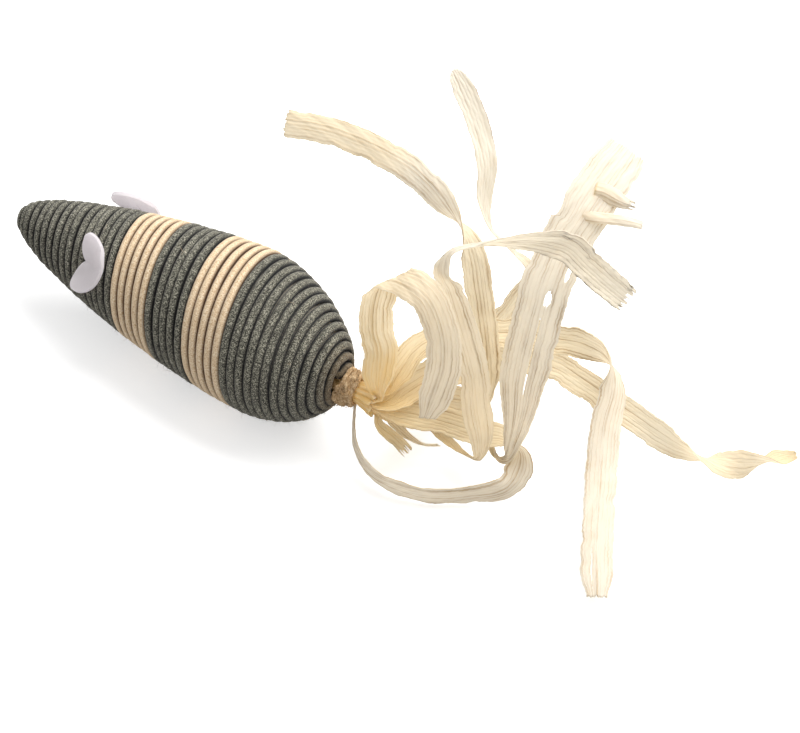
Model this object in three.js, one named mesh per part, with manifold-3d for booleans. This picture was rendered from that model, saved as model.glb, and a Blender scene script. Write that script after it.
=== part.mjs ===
// A cat's catnip mouse: an egg-shaped core wound with paper cord in two colours, two felt ears,
// and a tail of dried corn-husk strips tied at the neck. Millimetres, +Z up, nose towards -X.
// The origin is on the floor, in the middle of the flat under one of the widest turns.
import * as THREE from 'three';
import { mergeVertices } from 'three/addons/utils/BufferGeometryUtils.js';
import Module from 'manifold-3d';

const wasm = await Module();
wasm.setup();

// Body, measured over the cord, along the axis from the nose
const BODY_LENGTH = 90;
const BODY_RADIUS = 17.5;
const WIDEST_AT = 62;
const NOSE_FULLNESS = 8.9;
const SHOULDER_RUN = 14;
const RUMP_RUN = 17;
const RUMP_FULLNESS = 8.6;

// The rump bends a little to the near side
const RUMP_BEND = 3.1;
const BEND_FROM = 58;
const BEND_TO = 86;

// Cord and its turns, band by band from the nose
const CORD_DIAMETER = 1.5;
const TURN_GAP = 0.65;
const NOSE_TURNS = 16;
const BAND_TURNS = 5;
const FIRST_TURN_RADIUS = 1.75;
const LAST_TURN_RADIUS = 4.3;
const TURN_SLANT = 2.1;
const SLANT_ANGLE = 125;
const LOOP_STEPS = 16;
const CORD_SIDES = 6;
const CORD_START_STEP = 5.5;
const CORD_BEND = 0.6;
const FLAT_SHARE = 0.1;
const HALVINGS = 40;

// Core, catnip and the root of the tail
const CLEARANCE = 0.3;
const BORE_RADIUS = 3;
const BORE_DEPTH = 46;
const ROOT_DEPTH = 10;
const ROD_STEP = 4;
const CORE_SEGMENTS = 32;
const CORE_RINGS = 24;

// Neck: a round knot, the tie round it and the gathered throat of the tail
const NECK_BEYOND = 1.5;
const KNOT_RADIUS = 2.6;
const KNOT_WAIST = 2;
const KNOT_STEPS = 5;
const TIE_DIAMETER = 0.9;
const TIE_GAP = 0.55;
const TIE_TURNS = 2;
const TIE_STEPS = 12;
const TIE_SIDES = 5;
const TIE_SLACK = 0.35;
const THROAT_FROM = 3.2;
const THROAT_LENGTH = 2.5;
const THROAT_START_RADIUS = 2.1;
const THROAT_END_RADIUS = 2.8;

// Felt ears
const NEAR_EAR_AT = 24;
const FAR_EAR_AT = 21.6;
const EAR_LARGE_LOBE = 7.3;
const EAR_SMALL_LOBE = 6.4;
const EAR_DEPTH = 7.9;
const EAR_NOTCH = 2.6;
const EAR_CURL = 1.8;
const EAR_THICKNESS = 1;
const EAR_SEAT = 0.35;
const EAR_STEPS = 7;

// Husk strips
const ARCH_WIDTH = 7.5;
const CROOK_WIDTH = 6.6;
const LEANER_WIDTH = 6.2;
const TOP_WIDTH = 5;
const RING_WIDTH = 6.4;
const BROAD_WIDTH = 11;
const DROOP_WIDTH = 7.2;
const LONG_WIDTH = 6.8;
const TIE_END_WIDTH = 3;
const SLIVER_WIDTH = 2.6;
const LEAF_THICKNESS = 0.4;
const LEAF_CUP = 0.08;
const LEAF_STEP = 3;
const LEAF_ROOT_WIDTH = 1.9;
const LEAF_SPREAD = 14;
const LEAF_TAPER = 6;

const CORD_RADIUS = CORD_DIAMETER / 2;
const PITCH = CORD_DIAMETER + TURN_GAP;
const CHORD_SAG = Math.cos(Math.PI / LOOP_STEPS);
const AXIS_HEIGHT = BODY_RADIUS - CORD_RADIUS + CORD_RADIUS * Math.cos(Math.PI / CORD_SIDES)
  - (BODY_RADIUS - CORD_RADIUS) * (1 - CHORD_SAG) - FLAT_SHARE * CORD_DIAMETER;

const GREY_PAPER = { color: 0x6b7168, roughness: 0.95, metalness: 0 };
const BEIGE_PAPER = { color: 0xe6c79f, roughness: 0.95, metalness: 0 };
const CORE_FOAM = { color: 0xd9d2c4, roughness: 0.9, metalness: 0 };
const CATNIP = { color: 0x6f7a45, roughness: 1, metalness: 0 };
const FELT = { color: 0xd7d0d8, roughness: 1, metalness: 0 };
const HUSK = { color: 0xeedfb8, roughness: 0.7, metalness: 0 };
const TIE_PAPER = { color: 0xb79a72, roughness: 0.95, metalness: 0 };

const mouse = new THREE.Group();

function addPart(name, geometry, finish) {
  const mesh = new THREE.Mesh(geometry, new THREE.MeshStandardMaterial(finish));
  mesh.name = name;
  mouse.add(mesh);
  return mesh;
}

function bareGeometry(geometry) {
  const bare = geometry.clone();
  bare.deleteAttribute('normal');
  bare.deleteAttribute('uv');
  return mergeVertices(bare, 1e-4);
}

function toSolid(geometry) {
  const bare = bareGeometry(geometry);
  return new wasm.Manifold(new wasm.Mesh({
    numProp: 3,
    vertProperties: Float32Array.from(bare.attributes.position.array),
    triVerts: Uint32Array.from(bare.index.array),
  }));
}

function toGeometry(solid) {
  const mesh = solid.getMesh();
  const geometry = new THREE.BufferGeometry();
  geometry.setAttribute('position', new THREE.BufferAttribute(mesh.vertProperties, 3));
  geometry.setIndex(new THREE.BufferAttribute(mesh.triVerts, 1));
  geometry.computeVertexNormals();
  return geometry;
}

// Joins rings of points, all with as many points, into one closed skin with flat ends. Faces on the
// second half of a ring are split the other way, so the two sides of a twisted leaf stay parallel.
function skinRings(rings) {
  const sides = rings[0].length;
  const points = rings.flat();
  const faces = [];
  for (let i = 0; i + 1 < rings.length; i += 1) {
    for (let j = 0; j < sides; j += 1) {
      const a = i * sides + j;
      const b = i * sides + (j + 1) % sides;
      if (j < sides / 2) faces.push(a, b, b + sides, a, b + sides, a + sides);
      else faces.push(a, b, a + sides, b, b + sides, a + sides);
    }
  }
  const last = (rings.length - 1) * sides;
  for (let j = 1; j + 1 < sides; j += 1) {
    faces.push(0, j + 1, j);
    faces.push(last, last + j, last + j + 1);
  }
  const geometry = new THREE.BufferGeometry().setFromPoints(points);
  geometry.setIndex(faces);
  geometry.computeVertexNormals();
  return geometry;
}

// Body meridian: a round nose, a long rise to the widest turn, and a full round rump.
// A larger inset gives the same egg, that much inside the outer one.
function meridian(inset) {
  const radius = BODY_RADIUS - inset;
  const end = BODY_LENGTH - inset;
  const path = new THREE.Path();
  path.moveTo(inset, 0);
  path.bezierCurveTo(inset, NOSE_FULLNESS - inset / 2,
    WIDEST_AT - SHOULDER_RUN, radius, WIDEST_AT, radius);
  path.bezierCurveTo(WIDEST_AT + RUMP_RUN, radius, end, RUMP_FULLNESS - inset / 2, end, 0);
  return path;
}

// Winding: the cord's middle line lies on a meridian half a cord inside the body's outline.
const cordLine = meridian(CORD_RADIUS);
const cordLineLength = cordLine.getLength();

// The share of a line's length at which a test of that share first holds.
function shareWhere(holds) {
  let low = 0;
  let high = 1;
  for (let i = 0; i < HALVINGS; i += 1) {
    const middle = (low + high) / 2;
    if (holds(middle)) high = middle;
    else low = middle;
  }
  return high;
}

const cordStart = cordLineLength * shareWhere((share) => {
  const place = cordLine.getPointAt(share);
  return place.y > FIRST_TURN_RADIUS || place.x > WIDEST_AT;
});
const cordEnd = cordLineLength * shareWhere((share) => {
  const place = cordLine.getPointAt(share);
  return place.y < LAST_TURN_RADIUS && place.x > WIDEST_AT;
});
const rumpTurns = Math.floor((cordEnd - cordStart) / PITCH) - NOSE_TURNS - 3 * BAND_TURNS;

// Where the cord is after so many turns: station, radius and the meridian's slope there.
function cordPlace(turn) {
  const angle = Math.PI + (turn * LOOP_STEPS + CORD_START_STEP) * 2 * Math.PI / LOOP_STEPS;
  const middle = cordStart + PITCH * turn;
  const lean = TURN_SLANT * Math.sin(Math.PI * middle / cordLineLength);
  const along = middle + lean * Math.cos(angle - THREE.MathUtils.degToRad(SLANT_ANGLE));
  const place = cordLine.getPointAt(along / cordLineLength);
  const slope = cordLine.getTangentAt(along / cordLineLength);
  return { angle, slope, station: place.x, radius: place.y };
}

// The cord crosses under the body once a turn. The origin is under the first crossing past the widest.
const turnsToBottom = 1 - CORD_START_STEP / LOOP_STEPS;
let lowTurn = turnsToBottom;
while (cordPlace(lowTurn).station < WIDEST_AT) lowTurn += 1;
const originStation = cordPlace(lowTurn).station;

// A direction along the axis, away from it, and round it from the top, in the part's frame.
function direction(along, outward, angle) {
  return new THREE.Vector3(along, -outward * Math.sin(angle), outward * Math.cos(angle));
}

// How far the body's middle line lies to the near side at a station.
function bendAt(station) {
  return RUMP_BEND * THREE.MathUtils.smoothstep(station, BEND_FROM, BEND_TO);
}

// A point in the part's frame: a station along the axis, a radius, and an angle from the top.
function onBody(station, radius, angle) {
  const point = direction(station - originStation, radius, angle);
  point.y -= bendAt(station);
  point.z += AXIS_HEIGHT;
  return point;
}

function cordFrame(turn) {
  const { angle, slope, station, radius } = cordPlace(turn);
  return { point: onBody(station, radius, angle), outward: direction(-slope.y, slope.x, angle) };
}

// A tube of flat sides round a line of points, one flat facing outward at each point.
function tubeRound(frames, diameter, sides) {
  const rings = frames.map((frame, i) => {
    const before = frames[Math.max(i - 1, 0)].point;
    const after = frames[Math.min(i + 1, frames.length - 1)].point;
    const ahead = after.clone().sub(before).normalize();
    const outward = frame.outward.clone().projectOnPlane(ahead).normalize();
    const across = ahead.clone().cross(outward);
    const ring = [];
    for (let k = 0; k < sides; k += 1) {
      const turn = 2 * Math.PI * k / sides + Math.PI / 2 - Math.PI / sides;
      ring.push(frame.point.clone()
        .addScaledVector(across, -Math.cos(turn) * diameter / 2)
        .addScaledVector(outward, Math.sin(turn) * diameter / 2));
    }
    return ring;
  });
  return skinRings(rings);
}

// The cord's end turns in under the outline and runs straight for one diameter to the core.
function tuckedEnd(frame, next, inward) {
  const axis = new THREE.Vector3(inward, 0, 0);
  const ahead = next.point.clone().sub(frame.point).normalize();
  const toAxis = onBody(frame.point.x + originStation, 0, 0).sub(frame.point).normalize();
  const corner = frame.point.clone().addScaledVector(ahead, -CORD_BEND)
    .addScaledVector(axis, CORD_BEND).addScaledVector(toAxis, CORD_BEND);
  const tip = corner.clone().addScaledVector(axis, CORD_DIAMETER);
  return [{ point: tip, outward: frame.outward }, { point: corner, outward: frame.outward }];
}

// One band of turns. Where two bands meet, both ends stop short in the same straight step.
function bandFrames(fromTurn, toTurn, isFirst, isLast) {
  const frames = [];
  const halfStep = 0.5 / LOOP_STEPS;
  const steps = Math.round((toTurn - fromTurn) * LOOP_STEPS);
  for (let i = 0; i <= steps; i += 1) {
    frames.push(cordFrame(fromTurn + i / LOOP_STEPS));
  }
  if (isFirst) {
    frames.unshift(...tuckedEnd(frames[0], frames[1], 1));
  } else {
    frames.unshift(meetingEnd(fromTurn - halfStep, frames[0]));
  }
  if (isLast) {
    const end = tuckedEnd(frames.at(-1), frames.at(-2), -1);
    frames.push(...end.reverse());
  } else {
    frames.push(meetingEnd(toTurn + halfStep, frames.at(-1)));
  }
  return frames;
}

function meetingEnd(turn, neighbour) {
  const halfStep = 0.5 / LOOP_STEPS;
  const before = cordFrame(turn - halfStep).point;
  const after = cordFrame(turn + halfStep).point;
  const point = before.clone().lerp(after, 0.5);
  const back = neighbour.point.clone().sub(point).normalize();
  point.addScaledVector(back, CLEARANCE / 2);
  return { point, outward: cordFrame(turn).outward };
}

// Least gap between a tube's own turns, taken between points more than half a turn apart.
function leastGap(frames, diameter, loopSteps) {
  let least = Infinity;
  frames.forEach((frame, i) => {
    for (let j = i + Math.ceil(loopSteps / 2); j < frames.length; j += 1) {
      least = Math.min(least, frame.point.distanceTo(frames[j].point));
    }
  });
  return least - diameter;
}

const floorBox = new THREE.BoxGeometry(4 * BODY_LENGTH, 4 * BODY_LENGTH, BODY_LENGTH);
floorBox.translate(0, 0, -BODY_LENGTH / 2);
const floorSolid = toSolid(floorBox);

const bands = [
  { name: 'cord_grey_nose', turns: NOSE_TURNS, finish: GREY_PAPER },
  { name: 'cord_beige_front', turns: BAND_TURNS, finish: BEIGE_PAPER },
  { name: 'cord_grey_middle', turns: BAND_TURNS, finish: GREY_PAPER },
  { name: 'cord_beige_rear', turns: BAND_TURNS, finish: BEIGE_PAPER },
  { name: 'cord_grey_rump', turns: rumpTurns, finish: GREY_PAPER },
];

let turnsSoFar = 0;
const ends = {};
bands.forEach((band, i) => {
  const isFirst = i === 0;
  const isLast = i === bands.length - 1;
  const from = turnsSoFar + (isFirst ? 0 : 1 / LOOP_STEPS);
  turnsSoFar += band.turns;
  const frames = bandFrames(from, turnsSoFar, isFirst, isLast);
  if (isFirst) ends.nose = frames[0].point;
  if (isLast) ends.rump = frames.at(-1).point;
  const gap = leastGap(frames, CORD_DIAMETER, LOOP_STEPS);
  console.log(`${band.name}: least gap between its own turns ${gap.toFixed(2)} mm`);
  const tube = toSolid(tubeRound(frames, CORD_DIAMETER, CORD_SIDES));
  addPart(band.name, toGeometry(tube.subtract(floorSolid)), band.finish);
});

// Core: the same egg inside the cord, flat at both ends where the cord's ends are tucked in,
// with a bore for the catnip and the root of the tail.
const coreInset = CORD_RADIUS + CLEARANCE;
const noseFlat = ends.nose.x + originStation + CLEARANCE;
const rumpFlat = ends.rump.x + originStation - CLEARANCE;
const boreEnd = rumpFlat - BORE_DEPTH;

// A profile turned on the body's axis and then bent with it.
function turnedOnAxis(profile) {
  const geometry = new THREE.LatheGeometry(profile, CORE_SEGMENTS);
  geometry.rotateZ(-Math.PI / 2);
  const place = geometry.attributes.position;
  for (let i = 0; i < place.count; i += 1) {
    place.setY(i, place.getY(i) - bendAt(place.getX(i)));
  }
  geometry.translate(-originStation, 0, AXIS_HEIGHT);
  return geometry;
}

// The straight side of a rod or a bore, in short steps that can bend.
function sideOf(radius, from, to) {
  const steps = Math.ceil(Math.abs(to - from) / ROD_STEP);
  const side = [];
  for (let i = 0; i <= steps; i += 1) {
    side.push(new THREE.Vector2(radius, THREE.MathUtils.lerp(from, to, i / steps)));
  }
  return side;
}

// A point of the core's outline, straight in from the cord's middle line: radius and station.
function coreOutline(share) {
  const place = cordLine.getPointAt(share);
  const slope = cordLine.getTangentAt(share);
  return new THREE.Vector2((place.y - slope.x * coreInset) * CHORD_SAG, place.x + slope.y * coreInset);
}

function coreProfile() {
  const first = shareWhere((share) => coreOutline(share).y > noseFlat);
  const last = shareWhere((share) => coreOutline(share).y > rumpFlat);
  const outline = [];
  for (let i = 0; i <= CORE_RINGS; i += 1) {
    outline.push(coreOutline(THREE.MathUtils.lerp(first, last, i / CORE_RINGS)));
  }
  return [
    new THREE.Vector2(0, outline[0].y),
    ...outline,
    ...sideOf(BORE_RADIUS, rumpFlat, boreEnd),
    new THREE.Vector2(0, boreEnd),
  ];
}

addPart('core', turnedOnAxis(coreProfile()), CORE_FOAM);

const rodRadius = BORE_RADIUS * Math.cos(Math.PI / CORE_SEGMENTS) - CLEARANCE;
const rootEnd = rumpFlat - ROOT_DEPTH;
addPart('catnip_fill', turnedOnAxis([
  new THREE.Vector2(0, boreEnd + CLEARANCE),
  ...sideOf(rodRadius, boreEnd + CLEARANCE, rootEnd - CLEARANCE),
  new THREE.Vector2(0, rootEnd - CLEARANCE),
]), CATNIP);

// Root of the tail: the husk butts, gathered and glued in the bore, ending in a round knot.
const neckAt = BODY_LENGTH + NECK_BEYOND;
const knot = new THREE.Path();
const knotStart = Math.PI - Math.asin(KNOT_WAIST / KNOT_RADIUS);
knot.absarc(neckAt, 0, KNOT_RADIUS, knotStart, 0, true);
addPart('tail_root', turnedOnAxis([
  new THREE.Vector2(0, rootEnd),
  ...sideOf(rodRadius, rootEnd, rumpFlat),
  ...knot.getPoints(KNOT_STEPS).map((p) => new THREE.Vector2(Math.abs(p.y), p.x)),
]), HUSK);

// Tie: a few turns of paper string round the knot, free of it by a small slack.
const tieRadius = (KNOT_RADIUS + TIE_SLACK + TIE_DIAMETER / 2) / Math.cos(Math.PI / TIE_STEPS);
const tiePitch = TIE_DIAMETER + TIE_GAP;
const tieFrames = [];
for (let i = 0; i <= TIE_TURNS * TIE_STEPS; i += 1) {
  const turn = i / TIE_STEPS;
  const angle = 2 * Math.PI * turn;
  const station = neckAt + tiePitch * (turn - TIE_TURNS / 2);
  tieFrames.push({ point: onBody(station, tieRadius, angle), outward: direction(0, 1, angle) });
}
const tieLeast = leastGap(tieFrames, TIE_DIAMETER, TIE_STEPS);
console.log(`tail_tie: least gap between its own turns ${tieLeast.toFixed(2)} mm`);
addPart('tail_tie', tubeRound(tieFrames, TIE_DIAMETER, TIE_SIDES), TIE_PAPER);

// Throat: the gathered husk behind the tie, which the strips spread from.
const throatStart = neckAt + THROAT_FROM;
const throatEnd = throatStart + THROAT_LENGTH;
addPart('tail_throat', turnedOnAxis([
  new THREE.Vector2(0, throatStart),
  new THREE.Vector2(THROAT_START_RADIUS, throatStart),
  new THREE.Vector2(THROAT_END_RADIUS, throatEnd),
  new THREE.Vector2(0, throatEnd),
]), HUSK);

// Ears: kidney shapes of felt, pinched at the front so that both lobes curl up off the cord.
function earShape(side) {
  const large = EAR_LARGE_LOBE * side;
  const small = -EAR_SMALL_LOBE * side;
  const shape = new THREE.Shape();
  shape.moveTo(0, EAR_NOTCH);
  shape.quadraticCurveTo(large * 0.15, 0, large * 0.5, 0);
  shape.bezierCurveTo(large * 1.2, 0, large * 1.1, EAR_DEPTH, 0, EAR_DEPTH);
  shape.bezierCurveTo(small * 0.8, EAR_DEPTH, small * 1.3, EAR_NOTCH, small * 0.8, EAR_NOTCH * 0.75);
  shape.quadraticCurveTo(small * 0.4, EAR_NOTCH * 0.3, 0, EAR_NOTCH);
  return shape;
}

function feltEar(side) {
  const geometry = new THREE.ExtrudeGeometry(earShape(side), {
    depth: EAR_THICKNESS,
    bevelEnabled: false,
    curveSegments: EAR_STEPS,
  });
  const place = geometry.attributes.position;
  for (let i = 0; i < place.count; i += 1) {
    const outwardShare = (place.getX(i) / EAR_LARGE_LOBE) ** 2;
    const forwardShare = 1 - place.getY(i) / EAR_DEPTH;
    place.setZ(i, place.getZ(i) + EAR_CURL * outwardShare * forwardShare);
  }
  return geometry;
}

const bodyLine = meridian(0);

function outlineAt(station) {
  const share = shareWhere((part) => bodyLine.getPointAt(part).x > station);
  return { place: bodyLine.getPointAt(share), slope: bodyLine.getTangentAt(share) };
}

// An ear's front edge sits at a station and an angle from the top. The ear then turns about the
// body's outward direction there, and leans up off the cord.
function addEar(name, { side, at, angle, turn, lean }) {
  const around = THREE.MathUtils.degToRad(angle);
  const { place, slope } = outlineAt(at);
  const outward = direction(-slope.y, slope.x, around);
  const back = direction(slope.x, slope.y, around);
  back.applyAxisAngle(outward, THREE.MathUtils.degToRad(turn));
  const across = back.clone().cross(outward).normalize();
  back.applyAxisAngle(across, THREE.MathUtils.degToRad(lean));
  const face = across.clone().cross(back);
  const ear = addPart(name, feltEar(side), FELT);
  ear.quaternion.setFromRotationMatrix(new THREE.Matrix4().makeBasis(across, back, face));
  ear.position.copy(onBody(place.x, place.y, around)).addScaledVector(outward, EAR_SEAT);
}

addEar('ear_near', { side: 1, at: NEAR_EAR_AT, angle: 50.6, turn: 11.5, lean: 1 });
addEar('ear_far', { side: -1, at: FAR_EAR_AT, angle: -62.5, turn: -24, lean: 19 });

// Husk strips. Each route is measured from the middle of the throat's end, out to the strip's tip:
// x, y, z and the roll of the leaf in degrees, about its route, away from facing up and to the near side.
const SHOWN_FACE = new THREE.Vector3(0.34, -0.54, 0.77);
const strips = [
  {
    name: 'husk_arch',
    width: ARCH_WIDTH,
    tip: 0.45,
    route: [
      [0.6, -1.2, 2.2, -35], [1.4, -1.2, 2.5, -30], [0.4, 0.1, 5.5, -20], [-1.5, 4.9, 10, -8],
      [-3, 5.6, 15, 0], [-3, 6.6, 24, 10], [-1, 7.1, 29.5, 75], [4, 6.1, 34, 165], [10, 4.6, 34.5, 180],
      [14.5, 2.6, 29.5, 180], [16.5, 0.6, 21, 185], [16, -1.9, 13, 195], [15.5, -4.9, 8, 200],
    ],
  },
  {
    name: 'husk_crook',
    width: CROOK_WIDTH,
    gathered: 27,
    spread: 14,
    tip: 0.9,
    route: [
      [0.6, -1.2, -1.1, -35], [1.5, -1.2, -1.2, -35], [4, 0.4, -3.8, -20], [6.5, 7.1, -8.5, -10],
      [12.5, 7.6, -12, -10], [18, 6.1, -12, -60], [23.5, 3.6, -8, -130], [25, 2.6, 0, -170],
      [22, 5.6, 5, -178], [19, 9.1, 11, -180], [15.5, 10.1, 22, -200], [11.5, 12.1, 30, -225],
      [10, 11.1, 37, -245], [10.5, 13.1, 40, -258], [15, 16.1, 42, -268], [20, 19.1, 43, -285],
      [25.5, 22.6, 43, -310], [30, 26.1, 41, -345], [34, 28.1, 36, -360], [38.5, 30.6, 30, -360],
      [42, 33.1, 25, -355],
    ],
  },
  {
    name: 'husk_leaner',
    width: LEANER_WIDTH,
    tip: 1,
    route: [
      [0.6, 1.2, 1.1, -35], [1.5, 1.4, 1.1, -35], [3.6, 4.6, -0.6, -15], [11.5, 11.6, -4, 0],
      [16, 14.6, -5.5, 35], [18.5, 16.6, -4, 80], [17.5, 18.6, 0.5, 20], [16, 19.1, 9, 5],
      [13.5, 20.1, 21, 0], [11, 21.6, 31, 20], [7.5, 22.6, 38, 80], [1.5, 24.1, 41, 150],
      [-7, 26.1, 43, 175], [-15.5, 26.6, 44, 180], [-25.5, 27.1, 43, 185], [-32.5, 26.6, 42, 185],
      [-38.5, 25.6, 41, 180],
    ],
  },
  {
    name: 'husk_top',
    width: TOP_WIDTH,
    tip: 0.7,
    route: [
      [0.6, 1.2, -2.2, -35], [1.5, 1.4, -2.5, -35], [2.4, 5.6, -3.4, -20], [4, 20.6, -6, 0],
      [7, 30.6, -7, 10], [9, 40.6, -5, 25], [11, 46.1, 4, 60], [8.5, 42.1, 14, 80], [5.5, 38.6, 22, 75],
      [3, 39.6, 28, 50], [1.5, 42.6, 35, 25], [-2, 45.6, 40, 10], [-6.5, 48.1, 45.2, 0],
      [-12, 50.6, 49.8, 0],
    ],
  },
  {
    name: 'husk_ring',
    width: RING_WIDTH,
    tip: 0.4,
    route: [
      [0.6, -1.2, 0, -35], [1.5, -1.3, -0.1, -35], [7, 1.6, -1.5, 0], [14, 5.6, -4, 0],
      [22, 8.1, -5, -10], [27, 10.6, -6, -50], [31, 10.1, -7.5, -110], [32, 7.6, -10, -160],
      [31, 2.6, -12, -215], [25, -2.4, -13, -235], [18, -6.9, -13.5, -240], [11, -8.9, -13, -240],
      [4.5, -8.9, -12, -250], [-0.5, -6.4, -10, -262], [-2.5, -3.9, -6.5, -268], [-2, -2.4, -3, -268],
    ],
  },
  {
    name: 'husk_broad',
    width: BROAD_WIDTH,
    gathered: 35,
    spread: 28,
    tip: 0.85,
    route: [
      [0.6, 1.2, -0.4, -35], [1.5, 1.2, -0.6, -35], [4, 3, -2.6, -15], [9, 7.6, -6.5, 0],
      [16, 10.1, -9.5, 5], [21.5, 11.1, -10.5, 30], [25.5, 8.1, -10.5, 80], [29.5, 5.6, -6, 130],
      [30.5, 6.1, -0.5, 160], [29.5, 10.1, 4, 172], [28, 13.6, 9, 177], [27, 19.1, 19, 180],
      [26, 25.6, 28, 185], [26, 32.1, 34, 180], [27, 38.6, 39, 180], [27.5, 45.6, 42, 175],
      [28, 54.6, 44, 175],
    ],
    shreds: [
      {
        root: 3.6,
        width: 3.6,
        tip: 0.5,
        route: [[27, 42.6, 41.5, 176], [29, 43.1, 41.5, 176], [32.5, 43.6, 40.5, 176], [35.5, 45.1, 39, 170]],
      },
      {
        root: 2.4,
        width: 2.4,
        tip: 0.8,
        route: [[27, 37.6, 38.5, 176], [30, 38.1, 39, 176], [34.5, 40.6, 38.5, 176], [38.5, 43.1, 37, 170]],
      },
    ],
  },
  {
    name: 'husk_droop',
    width: DROOP_WIDTH,
    tip: 0.6,
    route: [
      [0.6, 1.2, 2.2, -35], [1.5, 1.5, 2.3, -35], [2.5, 5, 5.5, -20], [3, 10, 7.5, -35],
      [4.5, 15.1, 8, -45], [7, 20.6, 7.5, -40], [12, 25.1, 5, -25], [18.5, 29.6, 4, -10],
      [25.5, 33.1, 3, 0], [31.5, 35.6, 2, 25], [36.5, 35.6, 0.5, 75], [40, 33.1, -3.5, 150],
      [42.5, 26.1, -8, 175], [46, 18.6, -11.5, 180], [51, 8.6, -13, 180], [56.5, -2.4, -14, 180],
      [61, -10.4, -14.5, 180],
    ],
  },
  {
    name: 'husk_long',
    width: LONG_WIDTH,
    tip: 0.25,
    route: [
      [0.6, -1.2, 1.1, -35], [1.5, -1.2, 1, -35], [3.6, 0.3, 1.6, -20], [5, 4.2, 2, -5],
      [8, 11.1, 2.5, 0], [12.5, 18.6, 0, 0], [17.5, 28.1, -4, 0], [24.5, 34.1, -7, 0], [34, 34.1, -9, 0],
      [45, 33.1, -10.5, 0], [55.5, 32.1, -12, 30], [64, 32.1, -12.5, 100], [70.5, 35.1, -12.5, 190],
      [75.5, 40.6, -13, 280], [80, 45.1, -13.5, 360],
    ],
  },
  {
    name: 'husk_tie_end',
    width: TIE_END_WIDTH,
    tip: 1,
    route: [
      [0.6, -1.2, -2.2, -35], [1.5, -1.3, -2.6, -32], [2.5, -2.3, -4.1, -20], [5, -2.2, -6.2, 20],
      [7, -1.6, -8.2, 20], [10, -1.9, -10, 20],
    ],
  },
  {
    name: 'husk_sliver',
    width: SLIVER_WIDTH,
    tip: 0.5,
    route: [
      [0.6, 0.7, -3.3, -35], [1.6, 0.8, -3.7, -35], [4, 2.7, -9, 20], [7.5, 2.1, -10, 60],
      [11.5, 1.6, -9.5, 75], [15, 2.1, -8, 80],
    ],
  },
];

// Leaf width along a strip: gathered at the throat, spreading to its full width, drawn in at the tip.
function leafWidth(distance, length, strip) {
  const { root = LEAF_ROOT_WIDTH, width, tip, gathered = 0, spread = LEAF_SPREAD } = strip;
  const opened = THREE.MathUtils.smoothstep(distance, gathered, gathered + spread);
  const drawnIn = THREE.MathUtils.smoothstep(length - distance, 0, LEAF_TAPER);
  return THREE.MathUtils.lerp(root, width, opened) * THREE.MathUtils.lerp(tip, 1, drawnIn);
}

function leafStrip(strip) {
  const { route } = strip;
  const places = route.map(([x, y, z]) => onBody(throatEnd, 0, 0).add({ x, y, z }));
  const line = new THREE.CatmullRomCurve3(places);
  const length = line.getLength();
  const steps = Math.ceil(length / LEAF_STEP);
  const rings = [];
  for (let i = 0; i <= steps; i += 1) {
    const t = line.getUtoTmapping(i / steps);
    const knotPlace = t * (route.length - 1);
    const before = Math.min(Math.floor(knotPlace), route.length - 2);
    const roll = THREE.MathUtils.lerp(route[before][3], route[before + 1][3], knotPlace - before);
    const ahead = line.getTangent(t);
    const face = SHOWN_FACE.clone().projectOnPlane(ahead).normalize();
    face.applyAxisAngle(ahead, THREE.MathUtils.degToRad(roll));
    const across = ahead.clone().cross(face);
    const middle = line.getPoint(t);
    const wide = leafWidth(i / steps * length, length, strip);
    const at = (side, level) => middle.clone()
      .addScaledVector(across, side * wide / 2)
      .addScaledVector(face, level * LEAF_THICKNESS / 2 - (side === 0 ? LEAF_CUP * wide : 0));
    rings.push([at(-1, 1), at(0, 1), at(1, 1), at(1, -1), at(0, -1), at(-1, -1)]);
  }
  return skinRings(rings);
}

strips.forEach((strip) => {
  let leaf = toSolid(leafStrip(strip));
  (strip.shreds ?? []).forEach((shred) => {
    leaf = leaf.add(toSolid(leafStrip(shred)));
  });
  addPart(strip.name, toGeometry(leaf), HUSK);
});

export default mouse;
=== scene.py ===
# %% [markdown]
# # A catnip mouse in paper cord, felt and corn husk
# The real toy is an egg of stuffing, wound from nose to neck with paper cord in two colours. Two bits
# of felt are its ears, and its tail is a handful of dried corn-husk strips tied at the neck. The CAD
# frame gives each piece its place. This lesson gives each one its true surface: round cord that all
# but touches its neighbour, ribbed leaf that lets light through, soft felt and frayed string.

# %% Load the frame and keep its box
import math

import bpy
import numpy as np
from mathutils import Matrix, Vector


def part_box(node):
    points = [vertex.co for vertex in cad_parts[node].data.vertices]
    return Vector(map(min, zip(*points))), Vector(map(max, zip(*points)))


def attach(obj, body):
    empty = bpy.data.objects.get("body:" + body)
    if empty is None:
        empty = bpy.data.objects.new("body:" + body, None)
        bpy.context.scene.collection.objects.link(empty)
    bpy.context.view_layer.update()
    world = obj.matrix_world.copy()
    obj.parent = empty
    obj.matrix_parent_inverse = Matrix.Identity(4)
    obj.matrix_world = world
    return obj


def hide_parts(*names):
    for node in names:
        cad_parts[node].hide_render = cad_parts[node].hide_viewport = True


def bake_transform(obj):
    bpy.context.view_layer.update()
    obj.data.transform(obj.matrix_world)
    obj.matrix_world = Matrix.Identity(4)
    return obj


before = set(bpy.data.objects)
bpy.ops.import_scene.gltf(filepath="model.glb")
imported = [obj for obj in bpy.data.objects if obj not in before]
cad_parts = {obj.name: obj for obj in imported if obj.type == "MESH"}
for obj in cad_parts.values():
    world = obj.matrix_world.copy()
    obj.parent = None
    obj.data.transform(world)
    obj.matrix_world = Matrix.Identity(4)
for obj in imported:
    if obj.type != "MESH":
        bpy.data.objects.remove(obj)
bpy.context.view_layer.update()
MM = 0.001

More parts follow.
